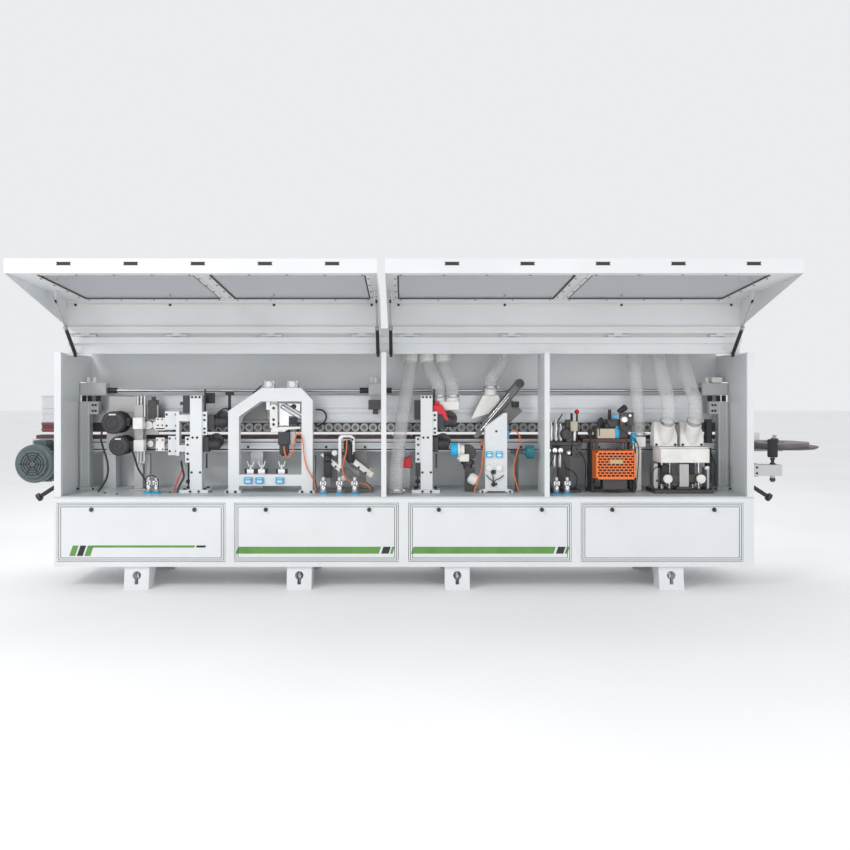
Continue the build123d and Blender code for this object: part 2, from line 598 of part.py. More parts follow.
with BuildPart() as end_cut_arm:
    plate_across([arm_point(0, -14), arm_point(0, 8), arm_point(150, 26), arm_point(440, 26),
                  arm_point(440, -26), arm_point(150, -26)], -64, -24)
    plate_across([arm_point(150, -30), arm_point(330, -30), (745, 1050), (700, 1010), (645, 955),
                  (600, 900)], -50, -36)
    head_x, head_z = arm_point(440, 0)
    rod((head_x, -66, head_z), (head_x, -22, head_z), 30)
    block(560, 620, -80, -64, 880, 940)
write(end_cut_arm, "end_cut_arm")

# -------------------------------------------------------------- right bay units

with BuildPart() as press_unit:
    block(900, 1090, -150, -10, TABLE_TOP, TABLE_TOP + 16)
    block(960, 1030, -110, -50, TABLE_TOP + 16, 840)
    block(880, 1100, -130, 0, 840, 862)
    for x in (905, 945, 985, 1060):
        rod((x, -100, 862), (x, -100, 985), 15)
    block(1005, 1045, -125, -75, 862, 1000)
    rod((1085, -60, 862), (1085, -60, 1035), 6)
    rod((1085, -60, 1035), (1085, -60, 1060), 13)
    rod((1010, 18, 862), (1010, 18, 952), 9)
    block(994, 1026, 4, 32, 840, 864)
write(press_unit, "press_unit")

with BuildPart() as press_roller:
    rod((1010, 18, 866), (1010, 18, 945), 30)
    rod((1010, 18, 865), (1010, 18, 946), 9 + RUNNING_GAP, Mode.SUBTRACT)
write(press_roller, "press_roller")

with BuildPart() as glue_unit:
    block(1150, 1430, -120, 0, TABLE_TOP, TABLE_TOP + 18)
    for x in (1160, 1400):
        block(x, x + 20, -110, -10, TABLE_TOP + 18, 860)
    block(1110, 1440, -125, 30, 860, 882)
    block(1270, 1400, -90, 10, 882, 1000)
    block(1200, 1312, -122, -92, 884, 944)
    rod((1325, -106, 884), (1325, -106, 960), 14)
    block(1340, 1425, -122, -92, 960, 1045)
    block(1190, 1250, -85, -50, 882, 950)
    rod((1230, 20, 882), (1230, 20, 952), 9)
    for x in (1185, 1365):
        block(x, x + 20, -126, -110, 780, 860)
write(glue_unit, "glue_unit")

with BuildPart() as glue_roller:
    rod((1230, 20, 886), (1230, 20, 944), 24)
    rod((1230, 20, 885), (1230, 20, 945), 9 + RUNNING_GAP, Mode.SUBTRACT)
write(glue_roller, "glue_roller")

with BuildPart() as glue_guard:
    block(1165, 1410, -232, -126, 640, 815)
    block(1169, 1406, -228, -125, 644, 811, Mode.SUBTRACT)
write(glue_guard, "glue_guard")

with BuildPart() as premill_unit:
    block(1530, 1890, -210, -20, TABLE_TOP, TABLE_TOP + 22)
    block(1690, 1748, -180, -120, TABLE_TOP + 22, 730)
    block(1580, 1850, -170, -140, 615, 665)
    block(1560, 1870, -195, -60, 730, 832)
    for x in (1600, 1650, 1790, 1830):
        rod((x, -110, TABLE_TOP + 22), (x, -110, 730), 9)
    for x in (1612, 1815):
        rod((x, -170, 640), (x, -206, 640), 26)
write(premill_unit, "premill_unit")

HOOD_PORTS = (1622, 1785)
with BuildPart() as dust_hoods:
    for x in HOOD_PORTS:
        block(x - 70, x + 70, -120, -40, 832, 985)
        rod((x, -156, 976), (x, -121, 916), 44)
    plate_across([(425, 1000), (500, 1150), (600, 1150), (625, 1060)], -18, 40)
    rod((550, 5, 1150), (550, 5, 1185), 40)
    block(182, 344, -80, -5, 1060, 1110)
    for x in (220, 306):
        rod((x, -42, 1110), (x, -42, 1130), 38)
    block(-22, 20, -120, -60, 700, 860)
    block(1440, 1508, -90, 0, 830, 890)
    block(1455, 1490, -60, -30, TABLE_TOP, 830)
write(dust_hoods, "dust_hoods")

# ------------------------------------------------- air preparation and hoses

REGULATORS = [(-1562, -200), (-1512, -200), (-490, -230), (-392, -230), (-300, -230),
              (925, -230), (990, -230)]
GANTRY_REGULATORS = (-960, -890, -765)
with BuildPart() as air_regulators:
    for x, y in REGULATORS:
        block(x - 20, x + 20, y - 20, y + 20, TABLE_TOP, TABLE_TOP + 10)
        rod((x, y, TABLE_TOP + 10), (x, y, TABLE_TOP + 52), 17)
        block(x - 19, x + 19, y - 19, y + 19, TABLE_TOP + 52, TABLE_TOP + 82)
        rod((x, y, TABLE_TOP + 82), (x, y, TABLE_TOP + 106), 11)
    for x in GANTRY_REGULATORS:
        block(x - 26, x + 26, GANTRY_Y[1], GANTRY_Y[1] + 40, 640, 715)
        block(x - 24, x + 24, GANTRY_Y[0] - 14, GANTRY_Y[0], 608, 646)
    for x in (525, 585):
        block(x - 20, x + 20, -174, -160, 770, 806)
        rod((x, -182, 705), (x, -160, 705), 20)
write(air_regulators, "air_regulators")

HOSE_WALL = 4
DUST_HOSES = [
    [(40, 80, 1430), (40, 80, 1375), (36, 30, 1290), (16, -60, 1170), (-10, -150, 1010),
     (-34, -205, 830), (-48, -225, 690), (-50, -232, 560)],
    [(145, 80, 1430), (145, 80, 1375), (170, 45, 1300), (212, -30, 1230), (220, -42, 1185),
     (220, -42, 1130)],
    [(250, 80, 1430), (250, 80, 1375), (268, 45, 1300), (300, -30, 1230), (306, -42, 1185),
     (306, -42, 1130)],
    [(640, 60, 1430), (640, 60, 1380), (612, 48, 1320), (562, 12, 1275), (550, 5, 1235),
     (550, 5, 1185)],
    [(1474, 60, 1430), (1474, 60, 1370), (1474, 30, 1290), (1474, -8, 1190), (1474, -38, 1060),
     (1474, -45, 970), (1474, -45, 890)],
    [(1636, 60, 1430), (1636, 60, 1375), (1630, 0, 1290), (1624, -100, 1200), (1622, -176, 1115),
     (1622, -196.25, 1045), (1622, -156, 976)],
    [(1788, 60, 1430), (1788, 60, 1375), (1788, 0, 1290), (1786, -100, 1200), (1785, -176, 1115),
     (1785, -196.25, 1045), (1785, -156, 976)],
]
AIR_HOSE_RADIUS = 4
AIR_HOSES = [
    [(-738, -162, 838), (-736, -168, 800), (-716, -170, 762), (-690, -168, 790), (-678, -167, 850),
     (-664, -168, 915), (-636, -170, 925), (-620, -168, 860), (-616, -166, 780), (-600, -166, 710),
     (-572, -167, 660), (-545, -168, 610), (-540, -168, 556)],
    [(-352, -166, 880), (-350, -172, 830), (-362, -175, 770), (-382, -176, 700), (-362, -177, 640),
     (-315, -177, 606), (-262, -176, 610), (-226, -174, 606), (-206, -172, 575)],
    [(470, -125, 845), (490, -140, 872), (490, -172, 850), (484, -180, 790), (478, -180, 700),
     (452, -180, 630), (430, -180, 556)],
    [(640, -120, 905), (672, -130, 940), (712, -136, 915), (722, -138, 860), (700, -140, 810),
     (672, -150, 700), (686, -165, 620), (706, -172, 556)],
]
CABLE_RADIUS = 6
POWER_CABLES = [
    [(-1868, -120, 940), (-1880, -134, 900), (-1862, -140, 830), (-1832, -142, 750), (-1826, -142, 670),
     (-1850, -144, 605), (-1890, -146, 556)],
    [(-1690, -120, 812), (-1668, -128, 770), (-1650, -132, 700), (-1612, -140, 650), (-1590, -144, 600),
     (-1580, -146, 556)],
    [(-1385, -110, 740), (-1368, -150, 700), (-1350, -160, 650), (-1378, -176, 600), (-1392, -184, 556)],
]


def corner_radii(points):
    """Radius at each inner corner, from 0.45 of its shorter run."""
    radii = []
    for before, corner, after in zip(points, points[1:], points[2:]):
        run_in = Vector(*corner) - Vector(*before)
        run_out = Vector(*after) - Vector(*corner)
        half_turn = radians(run_in.get_angle(run_out)) / 2
        radii.append(0.45 * min(run_in.length, run_out.length) / tan(half_turn))
    return radii


def tube(points, radius, bore=0):
    """Add a hose along straight runs joined by tangent arcs, and print its bends."""
    radii = corner_radii(points)
    with BuildLine(mode=Mode.PRIVATE) as route:
        FilletPolyline(*points, radius=radii)
    path = route.wires()[0]
    start = Plane(origin=points[0], z_dir=Vector(*points[1]) - Vector(*points[0]))
    with BuildSketch(start, mode=Mode.PRIVATE) as section:
        Circle(radius)
        if bore:
            Circle(bore, mode=Mode.SUBTRACT)
    piece = sweep(section.sketch, path=path)
    share = piece.volume / (section.sketch.area * path.length)
    print(f"hose {path.length:.0f} mm, volume share {share:.3f}, radii {[round(r) for r in radii]}")


with BuildPart() as dust_hoses:
    for points in DUST_HOSES:
        tube(points, SPIGOT_RADIUS, SPIGOT_RADIUS - HOSE_WALL)
write(dust_hoses, "dust_hoses")

with BuildPart() as air_hoses:
    for points in AIR_HOSES:
        tube(points, AIR_HOSE_RADIUS)
write(air_hoses, "air_hoses")

with BuildPart() as power_cables:
    for points in POWER_CABLES:
        tube(points, CABLE_RADIUS)
write(power_cables, "power_cables")
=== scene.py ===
"""Looks of the edge banding machine: its pieces, finishes, light and camera.

Lengths in this script are millimetres in the machine's own frame; Build turns them into metres.
"""

import math

import bmesh
import bpy
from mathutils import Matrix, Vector


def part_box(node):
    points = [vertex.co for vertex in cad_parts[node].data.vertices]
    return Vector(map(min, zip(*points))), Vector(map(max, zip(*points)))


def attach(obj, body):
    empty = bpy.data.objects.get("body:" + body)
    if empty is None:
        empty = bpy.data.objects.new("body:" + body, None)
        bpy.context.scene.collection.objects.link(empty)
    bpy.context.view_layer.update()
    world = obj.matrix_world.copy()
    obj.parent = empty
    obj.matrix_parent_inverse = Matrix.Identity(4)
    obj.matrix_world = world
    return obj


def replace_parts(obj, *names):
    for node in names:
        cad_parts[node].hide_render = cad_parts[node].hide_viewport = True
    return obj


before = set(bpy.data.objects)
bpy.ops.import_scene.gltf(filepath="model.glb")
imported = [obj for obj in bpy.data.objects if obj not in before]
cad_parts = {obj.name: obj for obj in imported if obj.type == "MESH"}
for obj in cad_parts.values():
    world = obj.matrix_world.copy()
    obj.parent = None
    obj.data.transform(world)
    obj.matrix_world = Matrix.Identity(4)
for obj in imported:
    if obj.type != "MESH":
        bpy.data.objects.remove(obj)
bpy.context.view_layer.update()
MM = 0.001


def span(node):
    """Lowest and highest x, y and z of a CAD node, in millimetres."""
    low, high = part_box(node)
    return [round(value / MM, 3) for pair in zip(low, high) for value in pair]


# ------------------------------------------------------------------ camera

CABINET = span("base_cabinet")
FRONT = CABINET[2]
TABLE_TOP = 552

EYE_DISTANCE = 4960
EYE_HEIGHT = 1191
VIEW_WIDTH = 5040
SIGHT_SHIFT = (0.0247, -0.0425)
SENSOR = 36

camera_data = bpy.data.cameras.new("camera")
camera_data.lens = SENSOR * EYE_DISTANCE / VIEW_WIDTH
camera_data.sensor_width = SENSOR
camera_data.shift_x, camera_data.shift_y = SIGHT_SHIFT
camera = bpy.data.objects.new("camera", camera_data)
camera.location = (0, (FRONT - EYE_DISTANCE) * MM, EYE_HEIGHT * MM)
camera.rotation_euler = (math.radians(90), 0, 0)
bpy.context.scene.collection.objects.link(camera)
bpy.context.scene.camera = camera


# --------------------------------------------------------------- materials

def node_tree(name):
    """A new material with its node tree and Principled shader."""
    material = bpy.data.materials.new(name)
    material.use_nodes = True
    tree = material.node_tree
    shader = tree.nodes["Principled BSDF"]
    return material, tree, shader


def add_bump(tree, shader, height, strength, distance):
    bump = tree.nodes.new("ShaderNodeBump")
    bump.inputs["Strength"].default_value = strength
    bump.inputs["Distance"].default_value = distance
    tree.links.new(height, bump.inputs["Height"])
    tree.links.new(bump.outputs["Normal"], shader.inputs["Normal"])


def noise(tree, scale, detail=3.0, stretch=None):
    texture = tree.nodes.new("ShaderNodeTexNoise")
    texture.inputs["Scale"].default_value = scale
    texture.inputs["Detail"].default_value = detail
    where = tree.nodes.new("ShaderNodeTexCoord").outputs["Object"]
    if stretch:
        mapping = tree.nodes.new("ShaderNodeMapping")
        mapping.inputs["Scale"].default_value = stretch
        tree.links.new(where, mapping.inputs["Vector"])
        where = mapping.outputs["Vector"]
    tree.links.new(where, texture.inputs["Vector"])
    return texture.outputs["Fac"]


def blend_colours(tree, factor, colours, low=0.3, high=0.7):
    ramp = tree.nodes.new("ShaderNodeValToRGB")
    ramp.color_ramp.elements[0].position = low
    ramp.color_ramp.elements[1].position = high
    for element, colour in zip(ramp.color_ramp.elements, colours):
        element.color = (*colour, 1)
    tree.links.new(factor, ramp.inputs["Fac"])
    return ramp.outputs["Color"]


def vary(colour, amount):
    return tuple(max(0.0, min(1.0, value * (1 + amount))) for value in colour)


def rough_range(tree, shader, factor, low, high):
    spread = tree.nodes.new("ShaderNodeMapRange")
    spread.inputs["To Min"].default_value = low
    spread.inputs["To Max"].default_value = high
    tree.links.new(factor, spread.inputs["Value"])
    tree.links.new(spread.outputs["Result"], shader.inputs["Roughness"])


def paint(name, colour, rough=0.38, coat=0.15, wear=0.05):
    """Powder coat: fine orange peel, soft patches of tone and a thin clear coat."""
    material, tree, shader = node_tree(name)
    patches = noise(tree, 2.6, 4)
    tree.links.new(blend_colours(tree, patches, (vary(colour, -wear), vary(colour, wear * 0.4))),
        shader.inputs["Base Color"])
    peel = noise(tree, 420, 2)
    rough_range(tree, shader, patches, rough - 0.06, rough + 0.08)
    add_bump(tree, shader, peel, 0.10, 0.0006)
    shader.inputs["Coat Weight"].default_value = coat
    shader.inputs["Coat Roughness"].default_value = 0.2
    return material


def metal(name, colour, rough=0.32, stretch=(6, 90, 90), metallic=0.9):
    """Machined or drawn metal: fine lines along the part and uneven gloss."""
    material, tree, shader = node_tree(name)
    lines = noise(tree, 14, 5, stretch)
    tree.links.new(blend_colours(tree, lines, (vary(colour, -0.22), vary(colour, 0.12))),
        shader.inputs["Base Color"])
    rough_range(tree, shader, lines, rough - 0.08, rough + 0.12)
    add_bump(tree, shader, lines, 0.16, 0.0004)
    shader.inputs["Metallic"].default_value = metallic
    return material


def moulded(name, colour, rough=0.5, grain=260, depth=0.0006, wear=0.12):
    """Moulded plastic, rubber or foam: a grained skin with slight colour change."""
    material, tree, shader = node_tree(name)
    skin = noise(tree, grain, 3)
    patches = noise(tree, 9, 3)
    tree.links.new(blend_colours(tree, patches, (vary(colour, -wear), vary(colour, wear))),
        shader.inputs["Base Color"])
    rough_range(tree, shader, patches, rough - 0.07, rough + 0.1)
    add_bump(tree, shader, skin, 0.3, depth)
    return material


def clear(name, colour, rough, alpha, haze):
    """Clear or smoky plastic sheet with faint streaks."""
    material, tree, shader = node_tree(name)
    streaks = noise(tree, 3, 4, (1, 6, 1))
    tree.links.new(blend_colours(tree, streaks, (vary(colour, -haze), vary(colour, haze))),
        shader.inputs["Base Color"])
    rough_range(tree, shader, streaks, rough, rough + 0.08)
    shader.inputs["Alpha"].default_value = alpha
    shader.inputs["Specular IOR Level"].default_value = 0.6
    return material


def cloth(name, colour):
    """Stitched cotton rings of a buffing wheel."""
    material, tree, shader = node_tree(name)
    wave = tree.nodes.new("ShaderNodeTexWave")
    wave.wave_type = "RINGS"
    wave.inputs["Scale"].default_value = 60
    wave.inputs["Distortion"].default_value = 3
    where = tree.nodes.new("ShaderNodeTexCoord").outputs["Object"]
    tree.links.new(where, wave.inputs["Vector"])
    tree.links.new(blend_colours(tree, wave.outputs["Fac"], (vary(colour, -0.25), vary(colour, 0.1))),
        shader.inputs["Base Color"])
    add_bump(tree, shader, wave.outputs["Fac"], 0.5, 0.001)
    shader.inputs["Roughness"].default_value = 0.9
    shader.inputs["Sheen Weight"].default_value = 0.3
    return material


WHITE = (0.735, 0.755, 0.765)
LOOKS = {
    "cabinet": (paint("cabinet_paint", WHITE), "cabinet_paint"),
    "hood_frame": (paint("hood_frame_paint", (0.74, 0.735, 0.70)), "cabinet_paint"),
    "table": (paint("table_paint", (0.56, 0.60, 0.61), 0.45), "table_grey"),
    "grey": (paint("grey_paint", (0.50, 0.52, 0.52), 0.42), "table_grey"),
    "glass": (clear("smoky_window", (0.235, 0.255, 0.29), 0.05, 0.56, 0.1), "window_glass"),
    "steel": (metal("drawn_steel", (0.55, 0.56, 0.57)), "steel"),
    "plate": (metal("machined_plate", (0.48, 0.48, 0.47), 0.4, (30, 30, 30), 0.7), "machined_steel"),
    "aluminium": (metal("extruded_aluminium", (0.66, 0.68, 0.70), 0.38, (2, 120, 120), 0.6), "beam_aluminium"),
    "dark": (metal("dark_machined", (0.085, 0.08, 0.078), 0.42, (20, 20, 20), 0.5), "machined_steel"),
    "black": (moulded("black_paint", (0.022, 0.022, 0.025), 0.42), "black_paint"),
    "motor": (moulded("motor_casting", (0.045, 0.045, 0.05), 0.5, 120, 0.001), "black_paint"),
    "outer_motor": (moulded("green_grey_casting", (0.10, 0.13, 0.135), 0.48, 120, 0.001), "black_paint"),
    "roller": (moulded("roller_rubber", (0.47, 0.47, 0.465), 0.6), "roller_rubber"),
    "foam": (moulded("black_foam", (0.03, 0.03, 0.032), 0.92, 700, 0.002), "roller_rubber"),
    "chain": (moulded("chain_rubber", (0.12, 0.068, 0.058), 0.75), "chain_brown"),
    "arm": (paint("arm_paint", (0.17, 0.17, 0.165), 0.5), "arm_grey"),
    "orange": (paint("guard_paint", (0.90, 0.19, 0.03), 0.4), "guard_orange"),
    "brass": (metal("knurled_brass", (0.48, 0.38, 0.20), 0.35, (200, 200, 8)), "glue_steel"),
    "tray": (moulded("tray_plastic", (0.075, 0.066, 0.072), 0.42), "reel_plastic"),
    "tape": (moulded("tape_edges", (0.185, 0.165, 0.172), 0.45), "reel_plastic"),
    "buff": (cloth("stitched_cotton", (0.70, 0.58, 0.42)), "buff_cloth"),
    "chrome": (metal("bright_plate", (0.70, 0.70, 0.71), 0.2, (40, 40, 40)), "lock_metal"),
    "hose": (clear("ribbed_clear_hose", (0.80, 0.80, 0.785), 0.18, 0.34, 0.1), "hose_clear"),
    "elbow": (moulded("white_plastic", (0.80, 0.79, 0.76), 0.4), "cabinet_paint"),
    "air": (moulded("orange_air_line", (0.78, 0.20, 0.055), 0.3), "hose_orange"),
    "cable": (moulded("black_cable", (0.02, 0.02, 0.022), 0.5), "cable_black"),
    "red": (moulded("red_plastic", (0.62, 0.02, 0.035), 0.4), "guard_orange"),
    "blue": (moulded("blue_plastic", (0.02, 0.42, 0.72), 0.35), "steel"),
    "teal": (moulded("teal_plastic", (0.03, 0.22, 0.27), 0.4), "steel"),
    "green": (moulded("green_vinyl", (0.115, 0.29, 0.06), 0.35, 60), "cabinet_paint"),
    # Black vinyl for the decals, also used for the painted shadow lines along the door edges.
    "ink_and_shadow": (moulded("black_vinyl_and_shadow", (0.022, 0.022, 0.025), 0.35, 60), "black_paint"),
    "seal": (moulded("seal_rubber", (0.04, 0.04, 0.042), 0.7), "cable_black"),
    "beige": (paint("beige_paint", (0.55, 0.50, 0.38), 0.45), "machined_steel"),
}

CAD_FINISH = {
    "cabinet": ["base_cabinet", "bay_walls", "roof_beams", "rear_wall", "hood_left_shell", "hood_right_shell",
                "door_1", "door_2", "door_3", "door_4", "rounding_gantry", "trim_columns", "end_cut_post",
                "feet", "dust_hoods"],
    "table": ["machine_table"],
    "grey": ["lift_columns", "lift_gearboxes", "outboard_supports"],
    "glass": ["hood_left_windows", "hood_right_windows"],
    "steel": ["lift_shaft", "levelling_bolts", "press_roller", "strut_left_rods", "strut_right_rods",
              "air_regulators"],
    "black": ["strut_left_tubes", "strut_right_tubes"],
    "motor": ["trim_units", "buffing_motors"],
    "outer_motor": ["drive_motor"],
    "plate": ["buffing_brackets", "scraper_unit", "rounding_arm", "premill_unit"],
    "dark": ["press_unit", "glue_unit"],
    "aluminium": ["pressure_beam", "track_beam"],
    "chain": ["feed_chain"],
    "arm": ["end_cut_arm"],
    "brass": ["glue_roller"],
    "tray": ["tape_reel"],
    "buff": ["buff_wheel_upper", "buff_wheel_lower"],
    "foam": ["guide_roller"],
}
CAD_FINISH["dark"] += [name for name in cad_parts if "_lock_" in name]
SHARP_CAD = ("hood_left_windows", "hood_right_windows", "feed_chain")
CAD_BEVEL = 1.5
BEVEL_ANGLE = 40
SMOOTH_ANGLE = 35


def soften(piece, width, segments=2):
    """Round the edges of a piece a little, so that they catch the light."""
    bevel = piece.modifiers.new("edge", "BEVEL")
    bevel.width = width * MM
    bevel.segments = segments
    bevel.limit_method = "ANGLE"
    bevel.angle_limit = math.radians(BEVEL_ANGLE)
    bevel.harden_normals = True


for look, names in CAD_FINISH.items():
    for name in names:
        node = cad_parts[name]
        node.data.materials.clear()
        node.data.materials.append(LOOKS[look][0])
        if name not in SHARP_CAD:
            soften(node, CAD_BEVEL)


# ------------------------------------------------------------ mesh building

def circle(centre, side, up, radius, count):
    """Points round a centre, in the plane of two directions."""
    turns = [2 * math.pi * i / count for i in range(count)]
    return [centre + (side * math.cos(turn) + up * math.sin(turn)) * radius for turn in turns]


def rectangle(x0, x1, y0, y1, z):
    return [(x0, y0, z), (x1, y0, z), (x1, y1, z), (x0, y1, z)]


class Build:
    """Collects solids in millimetres and makes one piece of them."""

    def __init__(self):
        self.mesh = bmesh.new()

    def solid(self, rings, close=False):
        """Join rings of points into a tube with capped ends."""
        loops = [[self.mesh.verts.new(Vector(point) * MM) for point in ring] for ring in rings]
        pairs = list(zip(loops, loops[1:]))
        if close:
            pairs.append((loops[-1], loops[0]))
        for first, second in pairs:
            for i in range(len(first)):
                j = (i + 1) % len(first)
                self.mesh.faces.new((first[i], first[j], second[j], second[i]))
        if not close:
            self.mesh.faces.new(loops[0][::-1])
            self.mesh.faces.new(loops[-1])
        return self

    def box(self, x0, x1, y0, y1, z0, z1):
        return self.solid([rectangle(x0, x1, y0, y1, z) for z in (z0, z1)])

    def prism(self, outline, y0, y1):
        """A plate whose outline is in x and z."""
        return self.solid([[(x, y, z) for x, z in outline] for y in (y0, y1)])

    def turn(self, start, end, profile, segments=28, close=False):
        """A turned part: profile holds (share of the way from start to end, radius)."""
        start, end = Vector(start), Vector(end)
        run = (end - start).normalized()
        side = run.orthogonal().normalized()
        up = run.cross(side)
        rings = [circle(start.lerp(end, share), side, up, radius, segments) for share, radius in profile]
        return self.solid(rings, close)

    def rod(self, start, end, radius, segments=24):
        return self.turn(start, end, [(0, radius), (1, radius)], segments)

    def ring(self, start, end, outer, inner, segments=28):
        """A washer or pipe between two points."""
        return self.turn(start, end, [(0, outer), (1, outer), (1, inner), (0, inner)], segments, close=True)

    def screws(self, places, radius=6, depth=4, toward=(0, -1, 0)):
        """Socket screws: a rounded head with a hollow, standing on the given places."""
        step = Vector(toward) * depth
        for place in places:
            base = Vector(place)
            profile = [(0, 1), (0.75, 1), (1, 0.8), (1, 0.45), (0.45, 0.4)]
            self.turn(base, base + step, [(share, radius * part) for share, part in profile], 14)
        return self

    def done(self, name, look, body="root", bevel=0.8):
        """Make the piece, give it its finish and let it ride on a body."""
        bmesh.ops.recalc_face_normals(self.mesh, faces=self.mesh.faces)
        data = bpy.data.meshes.new(name)
        self.mesh.to_mesh(data)
        self.mesh.free()
        piece = bpy.data.objects.new(name, data)
        bpy.context.scene.collection.objects.link(piece)
        material, slot = LOOKS[look]
        data.materials.append(material)
        data.polygons.foreach_set("use_smooth", [True] * len(data.polygons))
        data.set_sharp_from_angle(angle=math.radians(SMOOTH_ANGLE))
        if bevel:
            soften(piece, bevel)
        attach(piece, body)
        return piece


UPWARD = (0, 0, 1)


def screw_plate(name, places, look="black", body="root", radius=7, depth=5, toward=(0, -1, 0)):
    """A set of screw heads as one piece."""
    return Build().screws(places, radius, depth, toward).done(name, look, body, bevel=0)


# ------------------------------------------------------------------- hoses

HOSE_RADIUS = 42
HOSE_SIDES = 28
RIB_PITCH = 12
RIB_DEPTH = 2.6
RIB_STEPS = 3
DUST_HOSES = {
    "gantry_side": [(40, 80, 1430), (40, 80, 1375), (36, 30, 1290), (16, -60, 1170), (-10, -150, 1010),
                    (-34, -205, 830), (-48, -225, 690), (-50, -232, 560)],
    "trim_left": [(145, 80, 1430), (145, 80, 1375), (170, 45, 1300), (212, -30, 1230), (220, -42, 1185),
                  (220, -42, 1130)],
    "trim_right": [(250, 80, 1430), (250, 80, 1375), (268, 45, 1300), (300, -30, 1230), (306, -42, 1185),
                   (306, -42, 1130)],
    "end_cut": [(640, 60, 1430), (640, 60, 1380), (612, 48, 1320), (562, 12, 1275), (550, 5, 1235),
                (550, 5, 1185)],
    "glue": [(1474, 60, 1430), (1474, 60, 1370), (1474, 30, 1290), (1474, -8, 1190), (1474, -38, 1060),
             (1474, -45, 970), (1474, -45, 890)],
    "premill_left": [(1636, 60, 1430), (1636, 60, 1375), (1630, 0, 1290), (1624, -100, 1200),
                     (1622, -176, 1115), (1622, -196.25, 1045), (1622, -156, 976)],
    "premill_right": [(1788, 60, 1430), (1788, 60, 1375), (1788, 0, 1290), (1786, -100, 1200),
                      (1785, -176, 1115), (1785, -196.25, 1045), (1785, -156, 976)],
}
AIR_HOSES = {
    "rounding": [(-738, -162, 838), (-736, -168, 800), (-716, -170, 762), (-690, -168, 790), (-678, -167, 850),
                 (-664, -168, 915), (-636, -170, 925), (-620, -168, 860), (-616, -166, 780), (-600, -166, 710),
                 (-572, -167, 660), (-545, -168, 610), (-540, -168, 556)],
    "scraper": [(-352, -166, 880), (-350, -172, 830), (-362, -175, 770), (-382, -176, 700), (-362, -177, 640),
                (-315, -177, 606), (-262, -176, 610), (-226, -174, 606), (-206, -172, 575)],
    "post_left": [(470, -125, 845), (490, -140, 872), (490, -172, 850), (484, -180, 790), (478, -180, 700),
                  (452, -180, 630), (430, -180, 556)],
    "post_right": [(640, -120, 905), (672, -130, 940), (712, -136, 915), (722, -138, 860), (700, -140, 810),
                   (672, -150, 700), (686, -165, 620), (706, -172, 556)],
}
POWER_CABLES = {
    "upper_buffer": [(-1868, -120, 940), (-1880, -134, 900), (-1862, -140, 830), (-1832, -142, 750),
                     (-1826, -142, 670), (-1850, -144, 605), (-1890, -146, 556)],
    "lower_buffer": [(-1690, -120, 812), (-1668, -128, 770), (-1650, -132, 700), (-1612, -140, 650),
                     (-1590, -144, 600), (-1580, -146, 556)],
    "trimmer": [(-1385, -110, 740), (-1368, -150, 700), (-1350, -160, 650), (-1378, -176, 600),
                (-1392, -184, 556)],
}


def route_curve(name, points, radius=0.0, fineness=(16, 4)):
    """A smooth line beside the route's points; fineness is along and around it."""
    line = bpy.data.curves.new(name, "CURVE")
    line.dimensions = "3D"
    line.resolution_u, line.bevel_resolution = fineness
    line.bevel_depth = radius * MM
    line.use_fill_caps = True
    spline = line.splines.new("NURBS")
    spline.points.add(len(points) - 1)
    for knot, point in zip(spline.points, points):
        knot.co = (*(Vector(point) * MM), 1)
    spline.order_u = 3
    spline.use_endpoint_u = True
    piece = bpy.data.objects.new(name, line)
    bpy.context.scene.collection.objects.link(piece)
    return piece


THICK_WIRE, THIN_WIRE = 5, 3


def wire(name, points, radius, look, fineness=(16, 4)):
    """A round line of one look, held by the machine's frame."""
    line = route_curve(name, points, radius, fineness)
    line.data.materials.append(LOOKS[look][0])
    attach(line, "root")
    return line


def walk(piece, step):
    """Points at even steps along a route's own curve, in millimetres."""
    bpy.context.view_layer.update()
    mesh = bpy.data.meshes.new_from_object(piece.evaluated_get(bpy.context.evaluated_depsgraph_get()))
    knots = [vertex.co / MM for vertex in mesh.vertices]
    bpy.data.meshes.remove(mesh)
    length = sum((b - a).length for a, b in zip(knots, knots[1:]))
    count = round(length / step)
    spaced = [knots[0]]
    passed = 0.0
    for a, b in zip(knots, knots[1:]):
        run = (b - a).length
        while len(spaced) < count and passed + run >= len(spaced) * length / count:
            spaced.append(a.lerp(b, (len(spaced) * length / count - passed) / run))
        passed += run
    return spaced + [knots[-1]], length


def ribbed_hose(name, points):
    """A corrugated hose along the route."""
    line = route_curve(name + "_line", points)
    centres, length = walk(line, RIB_PITCH / RIB_STEPS)
    bpy.data.objects.remove(line)
    side = Vector((1, 0, 0))
    rings = []
    for i, centre in enumerate(centres):
        ahead = centres[min(i + 1, len(centres) - 1)] - centres[max(i - 1, 0)]
        ahead.normalize()
        side = (side - ahead * side.dot(ahead)).normalized()
        up = ahead.cross(side)
        radius = HOSE_RADIUS - (RIB_DEPTH if i % RIB_STEPS else 0)
        rings.append(circle(centre, side, up, radius, HOSE_SIDES))
    piece = Build().solid(rings).done(name, "hose", bevel=0)
    return piece, centres, length


for name, points in DUST_HOSES.items():
    hose, centres, length = ribbed_hose(f"dust_hose_{name}", points)
    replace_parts(hose, "dust_hoses")

AIR_RADIUS = 4
CABLE_RADIUS = 6
WALK_STEP = 5
for family, node, routes, radius in (("air", "air_hoses", AIR_HOSES, AIR_RADIUS),
                                     ("cable", "power_cables", POWER_CABLES, CABLE_RADIUS)):
    for name, points in routes.items():
        measure = route_curve("measure", points)
        length = walk(measure, WALK_STEP)[1]
        bpy.data.objects.remove(measure)
        line = wire(f"{family}_line_{name}", points, radius, family)
        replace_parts(line, node)

